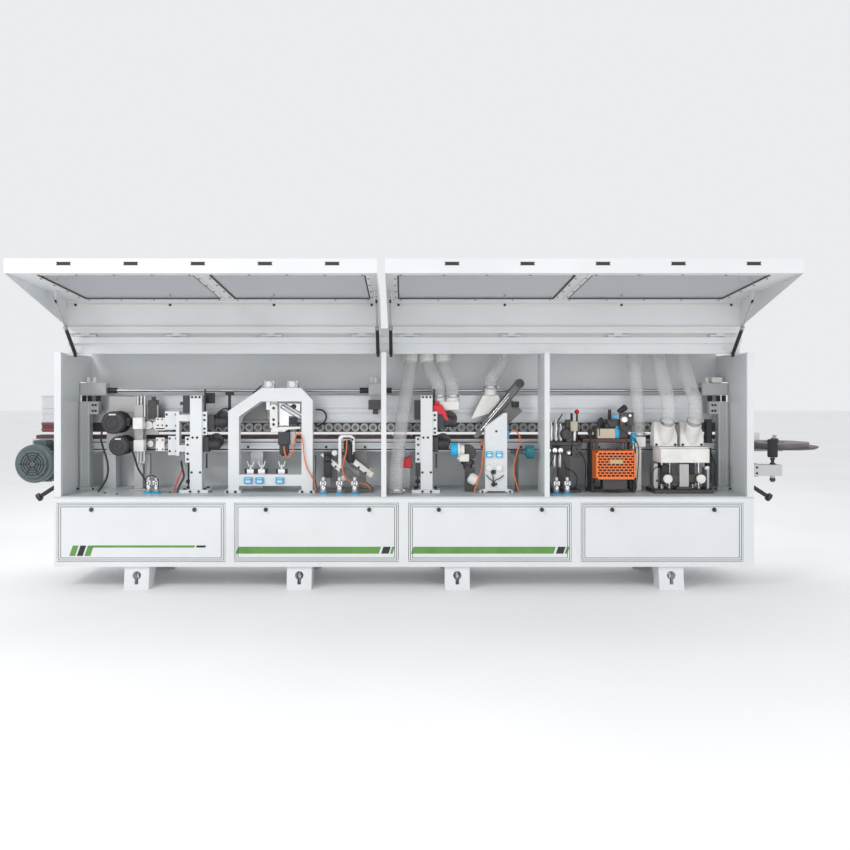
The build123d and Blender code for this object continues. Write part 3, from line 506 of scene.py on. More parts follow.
bulge = [(0, 43.5), (0.1, 46), (0.3, 50), (0.5, 51), (0.7, 50), (0.9, 46), (1, 43.5)]
for x in (40, 145, 250):
    Build().turn((x, 80, 1360), (x, 80, 1429), bulge).done(f"elbow_{x}", "elbow")
for name, points in DUST_HOSES.items():
    low = Vector(points[-1])
    back = (Vector(points[-2]) - low).normalized()
    clamp = Build().ring(low + back * 12, low + back * 24, 45.5, 41.5)
    clamp.box(low.x + 44, low.x + 56, low.y - 6, low.y + 6, low.z + 10, low.z + 22)
    clamp.done(f"hose_clamp_{name}", "steel")

# ------------------------------------------------------------------- doors

DOORS = {number: span(f"door_{number}") for number in range(1, 5)}
# Front and back of the thin strips on the doors: the vinyl decals and the painted shadow lines.
DECAL_AND_SHADOW_FACE, DECAL_AND_SHADOW_BACK = FRONT - 0.5, FRONT + 0.1
SLANT = 14
LOCK_RADIUS = 12.5
LOCK_Z = 475
BAND_LOW, BAND_HIGH = 214, 255
# Width and insets of the painted shadow lines along the door edges.
SHADOW_LINE_WIDTH = 3.2
SHADOW_LINE_INSETS = (7, 19)


def sticker(left, right, low, high, name, look, body, slant=SLANT):
    """A thin vinyl strip with slanted ends on the face of a door."""
    lean = slant * (high - low) / (BAND_HIGH - BAND_LOW)
    outline = [(left, low), (right, low), (right + lean, high), (left + lean, high)]
    Build().prism(outline, DECAL_AND_SHADOW_FACE, DECAL_AND_SHADOW_BACK).done(name, look, body, bevel=0)


def painted_door_shadow_lines(number):
    """Painted shadow: two thin black lines a little way inside the edge of a door, where the shade of the
    door's recess falls.
    """
    x0, x1, _, _, z0, z1 = DOORS[number]
    line = Build()
    for gap in SHADOW_LINE_INSETS:
        a, b, c, d = x0 + gap, x1 - gap, z0 + gap, z1 - gap
        for left, right, low, high in ((a, b, c, c + SHADOW_LINE_WIDTH), (a, b, d - SHADOW_LINE_WIDTH, d),
                                       (a, a + SHADOW_LINE_WIDTH, c, d), (b - SHADOW_LINE_WIDTH, b, c, d)):
            line.box(left, right, DECAL_AND_SHADOW_FACE, DECAL_AND_SHADOW_BACK, low, high)
    line.done(f"door_{number}_line", "ink_and_shadow", f"door_{number}", bevel=0)


for number in DOORS:
    painted_door_shadow_lines(number)
for name, look, left, right, low, high in (
        ("green_a", "green", -1985, -1950, 200, 262), ("black", "ink_and_shadow", -1940, -1905, 200, 262),
        ("green_b", "green", -1895, -1860, 200, 262), ("bar", "green", -1846, -1243, 250, 263),
        ("tail", "ink_and_shadow", -1233, -1178, 250, 263)):
    sticker(left, right, low, high, f"decal_1_{name}", look, "door_1")
for number, left, right in ((2, -998, -150), (3, 42, 886)):
    for name, look, start, end in (("band", "green", left, right), ("black", "ink_and_shadow", right + 14, right + 58),
                                   ("end", "green", right + 66, right + 82)):
        sticker(start, end, BAND_LOW, BAND_HIGH, f"decal_{number}_{name}", look, f"door_{number}")

for name in (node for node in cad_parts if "_lock_" in node):
    x0, x1 = span(name)[:2]
    middle = x0 + LOCK_RADIUS if name.endswith("left") else x1 - LOCK_RADIUS
    ring = Build().ring((middle, FRONT - 7.5, LOCK_Z), (middle, FRONT - 1, LOCK_Z), LOCK_RADIUS - 0.1, 7, 24)
    ring.done(f"{name}_rim", "dark", name)

# ------------------------------------------------------------------- hoods

RISE = math.radians(4.5)
HINGE_Y, CORNER_Z = -150, 1735
WINDOW_EDGES = (-748, -58)
PANEL_LENGTH = 810
OUTER_MARGIN, INNER_MARGIN = 140, 62
HALF_DIVIDER = 40
SEAL = 9
LEDGE = 22
STRUT_FOOT, STRUT_HEAD = (-165, 1400), (-475, 1715)


def on_panel(x, along, above):
    """A point from its place on the tilted window panel."""
    return Vector((x, HINGE_Y + along * math.cos(RISE) + above * math.sin(RISE),
        CORNER_Z - along * math.sin(RISE) + above * math.cos(RISE)))


def panel_bar(build, x0, x1, near, far, low, high):
    """A bar lying on the tilted window panel."""
    corners = [(x0, near), (x1, near), (x1, far), (x0, far)]
    return build.solid([[on_panel(x, along, above) for x, along in corners] for above in (low, high)])


def window_spans(x0, x1):
    """X of the two windows of one hood."""
    left = x0 + (OUTER_MARGIN if x0 < CABINET[0] else INNER_MARGIN)
    right = x1 - (OUTER_MARGIN if x1 > CABINET[1] else INNER_MARGIN)
    middle = (left + right) / 2
    return [(left, middle - HALF_DIVIDER), (middle + HALF_DIVIDER, right)]


UNDER = (0, -math.sin(RISE), -math.cos(RISE))
for side in ("left", "right"):
    body = f"hood_{side}"
    x0, x1 = span(f"hood_{side}_shell")[:2]
    seals, ledges, screws = Build(), Build(), []
    near, far = WINDOW_EDGES
    for a, b in window_spans(x0, x1):
        for u0, u1, v0, v1 in ((a, b, near, near + SEAL), (a, b, far - SEAL, far),
                               (a, a + SEAL, near, far), (b - SEAL, b, near, far)):
            panel_bar(seals, u0, u1, v0, v1, -1.5, 2.9)
        for u0, u1, v0, v1 in ((a - LEDGE, b + LEDGE, near - LEDGE, near),
                (a - LEDGE, b + LEDGE, far, far + LEDGE),
                               (a - LEDGE, a, near, far), (b, b + LEDGE, near, far)):
            panel_bar(ledges, u0, u1, v0, v1, -4, 0.2)
        for along in (near - LEDGE / 2, far + LEDGE / 2):
            screws += [on_panel(a + (b - a) * share, along, -4) for share in (0.02, 0.26, 0.5, 0.74, 0.98)]
        for x in (a - LEDGE / 2, b + LEDGE / 2):
            screws += [on_panel(x, near + (far - near) * share, -4) for share in (0.12, 0.37, 0.63, 0.88)]
    seals.done(f"{body}_window_seals", "seal", body, bevel=0.4)
    ledges.done(f"{body}_window_frames", "hood_frame", body, bevel=1)
    screw_plate(f"{body}_frame_screws", screws, "black", body, 5.5, 3, UNDER)
    trim = Build().box(x0 + 4, x1 - 4, HINGE_Y - 15, HINGE_Y - 11, 1554, 1575)
    trim.box(x0 + 4, x1 - 4, HINGE_Y - 6, HINGE_Y - 1, 1700, 1716)
    trim.done(f"{body}_stiffeners", "hood_frame", body, bevel=1.5)
    places = [(x0 + (x1 - x0) * share, HINGE_Y - 6, 1708) for share in (0.03, 0.33, 0.66, 0.97)]
    screw_plate(f"{body}_stiffener_screws", places, "black", body, 8, 5)
    slots = Build()
    corner = on_panel(0, -PANEL_LENGTH, 0)
    front_y, z = corner.y - 4, corner.z
    for slot in range(5):
        x = x0 + (x1 - x0) * (0.16 + 0.18 * slot)
        for low in (50, 35):
            slots.box(x - 39, x + 39, front_y - 1.5, front_y + 0.4, z + low, z + low + 3)
        slots.box(x - 36, x + 36, front_y + 3, front_y + 6, z + 36, z + 52)
    slots.done(f"{body}_front_slots", "seal", body, bevel=0.3)

for side, xs in (("left", (-2020, -160)), ("right", (-80, 2020))):
    for x in xs:
        foot, head = Vector((x, *STRUT_FOOT)), Vector((x, *STRUT_HEAD))
        run = (head - foot).normalized()
        part = Build().turn(foot + run * 205, foot + run * 226, [(0, 11.6), (0.2, 13), (0.8, 13), (1, 9)])
        part.done(f"strut_collar_{side}_{x}", "steel", f"strut_{side}_tubes")
        part = Build().turn(head - run * 34, head - run * 8, [(0, 5.3), (0.1, 6.4), (0.8, 6.4), (1, 5.3)])
        part.done(f"strut_end_{side}_{x}", "black", f"strut_{side}_rods")

# ------------------------------------------------------------- feed and lift

ROLLERS = 64
ROLLER_PITCH = 57
ROLLER_Z = 942
rings, hubs, bolts = Build(), Build(), Build()
for i in range(ROLLERS):
    x = (i - (ROLLERS - 1) / 2) * ROLLER_PITCH
    rings.ring((x, 82, ROLLER_Z), (x, 111, ROLLER_Z), 27, 13.5, 32)
    hubs.turn((x, 86, ROLLER_Z), (x, 110, ROLLER_Z), [(0, 13.4), (1, 13.4)], 24)
    bolts.turn((x, 82.5, ROLLER_Z), (x, 87, ROLLER_Z), [(0, 5), (0.4, 7.5), (1, 7.5)], 6)
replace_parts(rings.done("roller_rings", "roller", "pressure_beam", bevel=2), "pressure_rollers")
hubs.done("roller_hubs", "dark", "pressure_beam", bevel=0.6)
bolts.done("roller_bolts", "black", "pressure_beam", bevel=0)

# A thin dark sheet just behind the rollers: painted shade of the dark band behind them.
Build().box(-2346, 2036, 111.2, 112.4, 912, 973).done("roller_painted_shade_sheet", "dark", "pressure_beam", bevel=0.3)
ribs = Build()
for low, high in ((1140, 1149), (1064, 1068), (1030, 1036), (978, 986)):
    ribs.box(-2348, 2038, 106, 112.5, low, high)
ribs.done("beam_ribs", "aluminium", "pressure_beam", bevel=1)
ribs = Build()
for low, high in ((861, 870), (829, 833), (790, 799)):
    ribs.box(-2380, 2073, 54, 60.5, low, high)
ribs.done("track_ribs", "aluminium", bevel=1)
part = Build().box(-2380, 2073, 58, 60.4, 799, 806)
part.box(-2380, 2073, 58, 60.4, 846, 852)
part.done("track_slots", "seal", bevel=0)
screw_plate("track_screws", [(x, 58, 818) for x in range(-2000, 2001, 250)], "black", radius=8)

SHAFT_Y, SHAFT_Z = 60, 1181
shaft = Build().rod((-1975, SHAFT_Y, SHAFT_Z), (1975, SHAFT_Y, SHAFT_Z), 10)
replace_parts(shaft.done("lift_shaft_bar", "steel", "lift_shaft"), "lift_shaft")
couplings = Build()
for left, right in ((-1898, -1842), (-284, -228), (-135, -79), (1842, 1898)):
    couplings.turn((left, SHAFT_Y, SHAFT_Z), (right, SHAFT_Y, SHAFT_Z),
        [(0, 11), (0, 17), (0.06, 18), (0.43, 18), (0.45, 16), (0.55, 16), (0.57, 18), (0.94, 18), (1, 17),
        (1, 11)])
couplings.done("lift_couplings", "black", "lift_shaft", bevel=0)

BOXES = ((-2066, -1900), (-225, -138), (1900, 2066))
covers, caps, screws = Build(), Build(), []
for left, right in BOXES:
    covers.box(left + 5, right - 5, 18, 22.5, 1156, 1222)
    screws += [(x, 18, z) for x in (left + 14, right - 14) for z in (1165, 1213)]
    for peg in (0.25, 0.5):
        x = left + (right - left) * peg
        caps.turn((x, 55, 1228), (x, 55, 1266), [(0, 15), (0.25, 15), (0.3, 12), (0.9, 11), (1, 8)])
covers.done("gearbox_covers", "grey", bevel=1.5)
screw_plate("gearbox_screws", screws, "steel", radius=4, depth=2)
caps.done("gearbox_caps", "elbow", bevel=0)
Build().box(1965, 2035, 28, 92, 1228.2, 1268).done("gearbox_cap_block", "elbow", bevel=9)
bellows = Build()
for side in (-1, 1):
    for x in (2045, 2010, 1955):
        pleats = [(i / 8, 15.5 if i % 2 else 12.5) for i in range(9)]
        bellows.turn((side * x, 40, 1112), (side * x, 40, 1148), pleats, 20)
bellows.done("spindle_bellows", "seal", bevel=0)
screws = [(side * x, 0, z) for side in (-1, 1) for x in (1957, 1975) for z in (1052, 1088)]
screws += [(side * x, -30, 561) for side in (-1, 1) for x in (1962, 2056)]
screw_plate("lift_column_screws", screws, radius=7)
strips = Build()
for side in (-1, 1):
    for x in (2002, 2046):
        strips.box(side * x - 3.5, side * x + 3.5, -2.5, 0.3, 590, 1100)
strips.done("lift_column_strips", "aluminium", bevel=0.8)

# ---------------------------------------------------------- left bay: buffing


def fins(build, x, z, y0, y1, inner, outer, count):
    """Cooling fins along a motor whose axis is along Y."""
    for k in range(count):
        angle = 2 * math.pi * k / count
        out = Vector((math.cos(angle), 0, math.sin(angle)))
        across = Vector((-math.sin(angle), 0, math.cos(angle))) * 1.5
        centre = Vector((x, 0, z))
        ends = [centre + out * inner - across, centre + out * inner + across, centre + out * outer + across,
            centre + out * outer - across]
        build.solid([[Vector((p.x, y, p.z)) for p in ends] for y in (y0, y1)])
    return build


def motor_shell(build, x, z, y0, y1, radius):
    """A motor: ringed fan cover at the front, finned body and rear flange."""
    cover = [(0.03, radius * 0.2), (0, radius * 0.24), (0, radius * 0.42), (0.025, radius * 0.46),
        (0.025, radius * 0.6), (0, radius * 0.64), (0, radius * 0.82), (0.03, radius * 0.96), (0.06, radius),
        (0.3, radius), (0.31, radius * 0.86), (0.9, radius * 0.86), (0.91, radius), (1, radius)]
    build.turn((x, y0, z), (x, y1, z), cover, 40)
    depth = y1 - y0
    return fins(build, x, z, y0 + depth * 0.31, y0 + depth * 0.9, radius * 0.8, radius * 0.985, 36)


BUFFERS = {"upper": (-1800, 982, 70), "lower": (-1765, 838, 60)}
motors, plates, grilles = Build(), Build(), Build()
for x, z, radius in BUFFERS.values():
    motor_shell(motors, x, z, -150, 6, radius)
    motors.box(x + radius - 12, x + radius + 16, -96, -30, z - 22, z + 26)
    plates.box(x - radius * 0.3, x + radius * 0.3, -151, -149, z + radius * 0.66, z + radius * 0.78)
    for k in range(8):
        angle = math.pi * k / 4
        at = (x + radius * 0.53 * math.cos(angle), -147, z + radius * 0.53 * math.sin(angle))
        grilles.rod(at, (at[0], -145, at[2]), 3, 10)
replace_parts(motors.done("buffing_motor_bodies", "motor", bevel=0), "buffing_motors")
plates.done("buffing_motor_plates", "elbow", bevel=0.3)
grilles.done("buffing_motor_vents", "seal", bevel=0)
part = Build().rod((-1800, 6, 982), (-1800, 49, 982), 8)
part.rod((-1765, 6, 838), (-1765, 49, 838), 8)
part.done("buffing_shafts", "steel")
for name, (x, z, _) in BUFFERS.items():
    radius = 72 if name == "upper" else 66
    layers = [(0, radius * 0.3)]
    for k in range(6):
        layers += [(k / 6 + 0.02, radius * 0.97), (k / 6 + 0.08, radius), (k / 6 + 0.15, radius * 0.97)]
    layers.append((1, radius * 0.3))
    wheel = Build().turn((x, 21, z), (x, 47, z), layers, 48)
    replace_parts(wheel.done(f"{name}_wheel", "buff", f"buff_wheel_{name}", bevel=0), f"buff_wheel_{name}")
    Build().ring((x, 18.6, z), (x, 21.5, z), 24, 9).done(f"{name}_wheel_washer", "steel", f"buff_wheel_{name}")

mounts = Build().box(-1890, -1640, 6, 16, 772, 1060).box(-1700, -1645, -40, 6, 564, 1090)
mounts.box(-1720, -1620, -70, 16, TABLE_TOP, 564)
mounts.box(-1640, -1560, 0, 12, 900, 1090)
mounts.box(-1625, -1605, -30, 12, 650, 780)
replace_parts(mounts.done("buffing_mounts", "plate", bevel=1.5), "buffing_brackets")
blocks = Build().box(-1690, -1630, -100, -40, 940, 1012).box(-1685, -1622, -100, -40, 800, 872)
blocks.box(-1560, -1500, -58, -44, 935, 1010)
blocks.box(-1566, -1496, -58, -40, 930, 948)
blocks.box(-1560, -1505, -56, -44, 800, 885)
blocks.done("slide_blocks", "elbow", bevel=3)
rods = Build()
for x in (-1684, -1662, -1640):
    rods.rod((x, -20, 1012), (x, -20, 1148), 7)
for x in (-1668, -1648, -1628):
    rods.rod((x, -70, 738), (x, -70, 801), 5.5)
    rods.turn((x, -70, 722), (x, -70, 738), [(0, 8), (0.3, 10), (1, 10)], 6)
rods.done("slide_rods", "chrome", bevel=0)
cylinders = Build()
for x in (-1610, -1560):
    cylinders.turn((x, -40, 962), (x, 4, 962), [(0, 12), (0, 26), (0.1, 29), (1, 29)], 30)
for x, z in ((-1600, 845), (-1530, 842)):
    cylinders.turn((x, -36, z), (x, 4, z), [(0, 9), (0, 20), (0.1, 22), (1, 22)], 26)
cylinders.done("idler_rings", "chrome", bevel=0)
part = Build().box(-1622, -1570, -12, 52, 1000, 1120)
part.box(-1600, -1585, -14, 40, 1120, 1142)
part.done("felt_unit", "dark", bevel=3)
part = Build().turn((-1740, 30, 1112), (-1740, 30, 1146), [(0, 14), (0.2, 20), (0.8, 20), (1, 12)])
part.done("oil_cup", "brass")
Build().box(-1872, -1650, 0, 5.8, 1040, 1142).done("buffing_rear_shield", "plate", bevel=1)

screws = [(x, -58, z) for z in (1000, 962) for x in (-1545, -1518)]
screws += [(x, -56, z) for z in (870, 812) for x in (-1550, -1516)]
screw_plate("slide_screws", screws, radius=5, depth=3)
places = ((-1830, -190), (-1740, -240), (-1440, -160), (-1200, -120))
screw_plate("table_screws_left", [(x, y, TABLE_TOP) for x, y in places], radius=8, toward=UPWARD)

# ---------------------------------------------------- trimming columns, motors

COLUMNS = ((-1323, -1250), (103, 176))
screws = []
for left, right in COLUMNS:
    middle = (left + right) / 2
    screws += [(middle + offset, -140, 1140) for offset in (-23, 0, 23)]
    screws += [(middle + offset, -140, 890) for offset in (-20, 8)]
    screws += [(middle + offset, -140, 675) for offset in (-26, 26)]
    screws += [(middle + offset, -175, 561) for offset in (-26, 26)]
    screws += [(right + 15, -132, z) for z in (1028, 998, 945, 920)]
    screws += [(left - 16, -132, z) for z in (880, 845, 790, 755)]
screw_plate("trim_column_screws", screws, radius=7)
screws = [(x, y, 570) for left, right in COLUMNS for x in (left - 30, right + 22) for y in (-150, -70)]
screw_plate("trim_base_screws", screws, radius=10, depth=9, toward=UPWARD)
screws = [(x, -60, z) for z in (1030, 960) for x in (-1490, -1430)]
screws += [(x, -60, z) for z in (880, 800) for x in (-1470, -1430)]
screw_plate("spacer_plate_screws", screws, radius=7, depth=3)

heads, discs, glands = Build(), Build(), Build()
for left, right in COLUMNS:
    for base, z, reach in ((right + 30.5, 985, 120), (right, 845, 105)):
        heads.box(base, base + reach * 0.35, -116, -60, z - 45, z + 45)
        cuts = [(0, 30), (0.05, 34)]
        cuts += [(0.1 + 0.09 * k, 34 if k % 2 else 30.5) for k in range(9)]
        cuts += [(0.95, 34), (1, 24)]
        heads.turn((base + reach * 0.35, -88, z), (base + reach, -88, z), cuts)
        discs.turn((base + reach * 0.66, -58, z + 20), (base + reach * 0.66, -40, z + 20),
            [(0, 10), (0, 30), (0.2, 32), (0.2, 46), (0.4, 48), (1, 48)], 40)
        glands.turn((base + reach * 0.5, -110, z + 34), (base + reach * 0.5, -110, z + 52),
            [(0, 9), (0.4, 11), (0.5, 7), (1, 7)], 6)
heads.box(-1375, -1324, -110, -60, 1040, 1150).box(-1395, -1375, -100, -70, 1090, 1110)
heads.box(64, 102, -110, -60, 1000, 1120).box(72, 103, -132, -70, 650, 734)
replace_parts(heads.done("trim_motors", "motor", bevel=1.5), "trim_units")
discs.done("copying_discs", "dark", bevel=0.5)
glands.done("motor_glands", "black", bevel=0)
rods = Build()
for left, right in COLUMNS:
    rods.rod((right + 12, -100, 1050), (right + 12, -100, 1190), 6)
    rods.rod((right + 24, -112, 700), (right + 24, -112, 790), 5)
    rods.rod((left - 18, -105, 560), (left - 18, -105, 734), 5)
    rods.turn((left - 18, -105, 604), (left - 18, -105, 626), [(0, 12), (0.5, 16), (1, 12)])
rods.done("trim_adjusters", "black", bevel=0)
hub = Build().box(-1248, -1192, -58, -30, 1100, 1166).rod((-1095, -60, 1050), (-1095, -60, 1160), 9)
hub.box(-1120, -1070, -66, -40, 1150, 1172)
hub.done("corner_brackets", "black", bevel=2)
arch = [(-1190 + 150 * share, -72, 1010 + 62 * math.sin(math.pi * share))
    for share in (0, 0.1, 0.25, 0.5, 0.75, 0.9, 1)]

# Red suction hoods beside the second trimming column
red = Build().prism([(178, 1040), (178, 1092), (236, 1092), (268, 1030), (290, 970), (262, 975), (240, 1030)],
    -118, -86)
red.box(190, 222, -112, -70, 1092, 1112).prism([(-26, 700), (-26, 740), (40, 775), (52, 700)], -122, -60)
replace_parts(red.done("red_suction_hoods", "red", bevel=5), "dust_hoods")
white = Build().prism([(425, 1000), (500, 1150), (600, 1150), (625, 1060)], -18, 40)
white.turn((550, 5, 1150), (550, 5, 1190), [(0, 42), (0.2, 42), (0.25, 39), (0.8, 39), (1, 38)])
white.box(182, 344, -80, -5, 1060, 1110)
for x in (220, 306):
    white.turn((x, -42, 1110), (x, -42, 1134), [(0, 42), (0.3, 42), (0.35, 38), (1, 38)])
for x in (1622, 1785):
    low, waist = (rectangle(x - 72, x + 72, -125, -40, z) for z in (835, 905))
    white.solid([low, waist, rectangle(x - 60, x + 60, -88, -40, 985)])
    white.turn((x, -156, 976), (x, -96, 873), [(0, 46), (0.12, 46), (0.14, 44), (1, 44)], 36)
white.box(1440, 1508, -90, 0, 830, 890).box(1455, 1490, -60, -30, TABLE_TOP, 830)
white.done("dust_hoods_white", "elbow", bevel=4)
screw_plate("dust_hood_screws", [(x + dx, -125, 845) for x in (1622, 1785) for dx in (-58, 58)], radius=8)

# ------------------------------------------------------------------- gantry

GANTRY_FRONT = -150
screws = [(x, -175, 559) for x in (-1085, -1035, -625, -570)]
screw_plate("gantry_feet_screws", screws, radius=8, depth=6)
bearings, rims, cores = Build(), Build(), Build()
for x in (-833, -688):
    outline = [(x - 33, 1196.5), (x - 33, 1222), (x - 20, 1243), (x + 20, 1243), (x + 33, 1222),
        (x + 33, 1196.5)]
    bearings.prism(outline, -152, -98)
    rims.ring((x, -160, 1220), (x, -151, 1220), 20, 13)
    cores.turn((x, -163, 1220), (x, -150, 1220), [(0, 5), (0, 12), (1, 13)])
bearings.done("pillow_blocks", "plate", bevel=2)
rims.done("pillow_rims", "chrome", bevel=1)
cores.done("pillow_cores", "dark", bevel=0)
part = Build().turn((-872, -120, 1222), (-866, -120, 1222), [(0, 9), (1, 11)])
part.rod((-882, -120, 1214), (-940, -120, 1160), 4)
part.done("gantry_stop", "black", bevel=0)
shade = Build().prism([(-1010, 1000), (-1010, 1016), (-884, 1108), (-860, 1108), (-860, 1000)], -60, -40)
shade.box(-1016, -850, -52, -40, 985, 1000)
shade.done("gantry_shade", "arm", bevel=2)

link = Build().prism([(-834, 955), (-834, 1080), (-822, 1096), (-798, 1096), (-786, 1080), (-786, 955),
    (-798, 940), (-822, 940)], -114, -97)
link.prism([(-826, 925), (-826, 938), (-770, 956), (-640, 956), (-640, 944), (-720, 938), (-745, 922)], -134,
    -97)
link.prism([(-765, 934), (-747, 952), (-729, 934), (-747, 916)], -139, -130)
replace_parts(link.done("rounding_link", "elbow", "rounding_arm", bevel=2.5), "rounding_arm")
screw_plate("rounding_link_holes", [(-810, -114, 1000), (-810, -114, 970), (-810, -118, 1072)], "dark",
    "rounding_arm", 9, 2)
saw = Build().box(-778, -706, -152, -84, 845, 925).box(-770, -716, -146, -90, 790, 845)
saw.turn((-742, -116, 775), (-742, -116, 792), [(0, 16), (0.2, 22), (1, 22)])
saw.done("rounding_motor", "motor", "rounding_arm", bevel=4)
part = Build().box(-706, -672, -128, -96, 846, 926)
part.box(-700, -680, -122, -100, 826, 846)
part.done("rounding_spindle", "plate", "rounding_arm", bevel=2)
far = Build().box(-860, -836, -90, -60, 1060, 1112)
far.box(-780, -720, -80, -58, 960, 1100)
far.box(-740, -650, -76, -58, 1020, 1100)
far.turn((-770, -76, 1086), (-640, -76, 1006), [(0, 10), (0.06, 15), (0.9, 15), (1, 9)])
far.turn((-752, -88, 1100), (-622, -88, 1018), [(0, 6), (0.04, 8), (1, 8)])
far.done("rounding_cylinders", "chrome", bevel=1)
part = Build().box(-716, -668, -84, -58, 968, 1010)
part.turn((-690, -92, 1080), (-690, -76, 1080), [(0, 10), (0.2, 16), (1, 16)])
part.done("rounding_cam", "black", bevel=2)
ring_points = [(-566, 60, 1056), (-520, 66, 1062), (-494, 68, 1010), (-520, 68, 962), (-566, 62, 950)]

# ------------------------------------------------- gauges, valves, air filters

gauge_faces, dials, valves, cups = Build(), Build(), Build(), Build()
for x in (-960, -890, -765):
    gauge_faces.box(x - 25, x + 25, GANTRY_FRONT - 15, GANTRY_FRONT + 1, 608, 646)
    valves.box(x - 22, x + 22, -90, -50, 655, 690)
    valves.turn((x, -70, 690), (x, -70, 718), [(0, 14), (0.4, 14), (0.5, 9), (1, 7)])
    cups.box(x - 36, x - 22, -84, -56, 640, 690).box(x + 22, x + 36, -84, -56, 640, 690)
    for dx, lean in ((-9, -12), (9, 12)):
        dials.rod((x + dx, -70, 700), (x + dx + lean, -70, 738), 4)
for x in (525, 585):
    gauge_faces.box(x - 20, x + 20, -174, -159.5, 770, 806)
    cups.rod((x, -168, 705), (x, -158, 705), 8)
    dials.turn((x, -176, 705), (x, -160, 705), [(0, 16), (0.1, 19), (1, 20)])
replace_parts(gauge_faces.done("pressure_gauges", "blue", bevel=2), "air_regulators")
frames = Build()
panes = [(x, 608, 646, GANTRY_FRONT - 15, 25) for x in (-960, -890, -765)]
panes += [(x, 770, 806, -174, 20) for x in (525, 585)]
for x, z0, z1, y, half in panes:
    frames.box(x - half * 0.6, x + half * 0.6, y - 1, y + 0.3, z1 - 9, z1 - 5)
    frames.box(x - half * 0.6, x + half * 0.6, y - 1, y + 0.3, z0 + 7, z0 + 19)
frames.done("gauge_windows", "elbow", bevel=0.2)

REGULATORS = [(-1562, -200), (-1512, -200), (-490, -230), (-392, -230), (-300, -230), (925, -230), (990, -230)]
bases = Build()
for x, y in REGULATORS:
    bases.box(x - 24, x + 24, y - 20, y + 20, TABLE_TOP, 560)
    valves.turn((x, y, 560), (x, y, 606), [(0, 15), (0.1, 18), (0.8, 18), (1, 14)])
    valves.box(x - 19, x + 19, y - 19, y + 19, 606, 632)
    valves.turn((x, y, 632), (x, y, 658), [(0, 12), (0.3, 13), (0.8, 13), (1, 9)], 12)
    cups.ring((x, y - 21, 619), (x, y - 19, 619), 11, 7)
bases.done("valve_bases", "blue", bevel=1)
valves.done("air_valves", "chrome", bevel=2)
cups.done("valve_fittings", "black", bevel=1)
dials.done("gauge_dials", "elbow", bevel=0)

# ------------------------------------------------------------ scraper station

scraper = Build().box(-540, -190, -160, -40, TABLE_TOP, 572)
scraper.box(-460, -420, -90, -50, 572, 780)
scraper.box(-280, -240, -90, -50, 572, 700)
scraper.prism([(-520, 770), (-490, 790), (-205, 592), (-205, 572), (-250, 572)], -110, -92)
scraper.prism([(-395, 800), (-230, 800), (-215, 650), (-330, 700)], -88, -76)
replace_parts(scraper.done("scraper_frame", "arm", bevel=2), "scraper_unit")
light = Build().prism([(-520, 782), (-498, 792), (-395, 712), (-400, 672)], -118, -111)
light.prism([(-350, 752), (-322, 770), (-185, 668), (-205, 640)], -135, -112)
light.prism([(-405, 700), (-405, 890), (-392, 905), (-372, 905), (-372, 892), (-386, 880), (-386, 700)], -150,
    -100)
light.prism([(-372, 892), (-372, 905), (-326, 905), (-304, 888), (-304, 800), (-318, 800), (-318, 882),
    (-334, 892)], -150, -100)
light.done("scraper_plates", "elbow", bevel=1.5)
barrel = Build().turn((-326, -132, 736), (-354, -132, 872),
    [(0, 14), (0.04, 24), (0.1, 27), (0.86, 27), (0.88, 22), (1, 20)])
barrel.turn((-474, -120, 762), (-474, -150, 762), [(0, 22), (0.3, 24), (1, 18)])
barrel.box(-498, -452, -130, -100, 640, 800)
barrel.done("scraper_cylinder", "black", bevel=2)
knobs = Build()
for x, z in ((-428, 795), (-332, 790), (-372, 640)):
    knobs.turn((x, -132, z), (x, -152, z), [(0, 8), (0.2, 15), (0.9, 17), (1, 14)], 12)
knobs.done("scraper_knobs", "elbow", bevel=0)
screw_plate("scraper_screws", [(-318, -150, 878), (-452, -118, 738), (-425, -118, 708), (-280, -135, 706),
    (-318, -135, 736), (-238, -135, 672)], radius=7, depth=3)
part = Build().rod((-218, -118, 690), (-196, -118, 690), 14)
part.rod((-205, -120, 672), (-205, -120, 706), 9)
part.done("scraper_oiler", "brass")
part = Build().box(-225, -150, -30, 60, 1060, 1120)
part.box(-198, -165, -20, 50, 1030, 1062)
part.done("lift_bracket", "dark", bevel=2)

# ------------------------------------------------------------- end cut station

post_screws = [(x, -165, z) for x, z in ((482, 559), (652, 559))] + [(568, -160, z) for z in (605, 930)]
screw_plate("end_post_screws", post_screws, radius=7, depth=3)
arm_run = Vector((725 - 445, 0, 1225 - 885)).normalized()
arm_out = Vector((-arm_run.z, 0, arm_run.x))
foot = Vector((445, 0, 885))
edge = Build()
for across, width in ((20, 6), (-24, 5)):
    a, b = foot + arm_run * 150 + arm_out * across, foot + arm_run * 436 + arm_out * across
    side = arm_out * width
    edge.solid([[Vector((p.x, y, p.z)) for p in (a, b, b + side, a + side)] for y in (-67, -63.5)])
edge.turn(foot + arm_run * 440 + Vector((0, -72, 0)), foot + arm_run * 440 + Vector((0, -64, 0)),
    [(0, 16), (0.2, 24), (1, 26)])
edge.done("end_arm_edges", "dark", bevel=1)
rail = Build().rod(foot + arm_run * 60 + Vector((0, -72, 0)), foot + arm_run * 330 + Vector((0, -72, 0)), 5)
rail.rod(foot + arm_run * 150 + arm_out * 12 + Vector((0, -72, 0)),
    foot + arm_run * 350 + arm_out * 12 + Vector((0, -72, 0)), 4)
rail.done("end_arm_rails", "chrome", bevel=0)
part = Build().box(676, 722, -66, -51, 1076, 1112)
part.turn((700, -66, 1094), (700, -84, 1094), [(0, 20), (0.8, 20), (1, 14)], 6)
part.done("end_arm_sensor", "black", bevel=2)
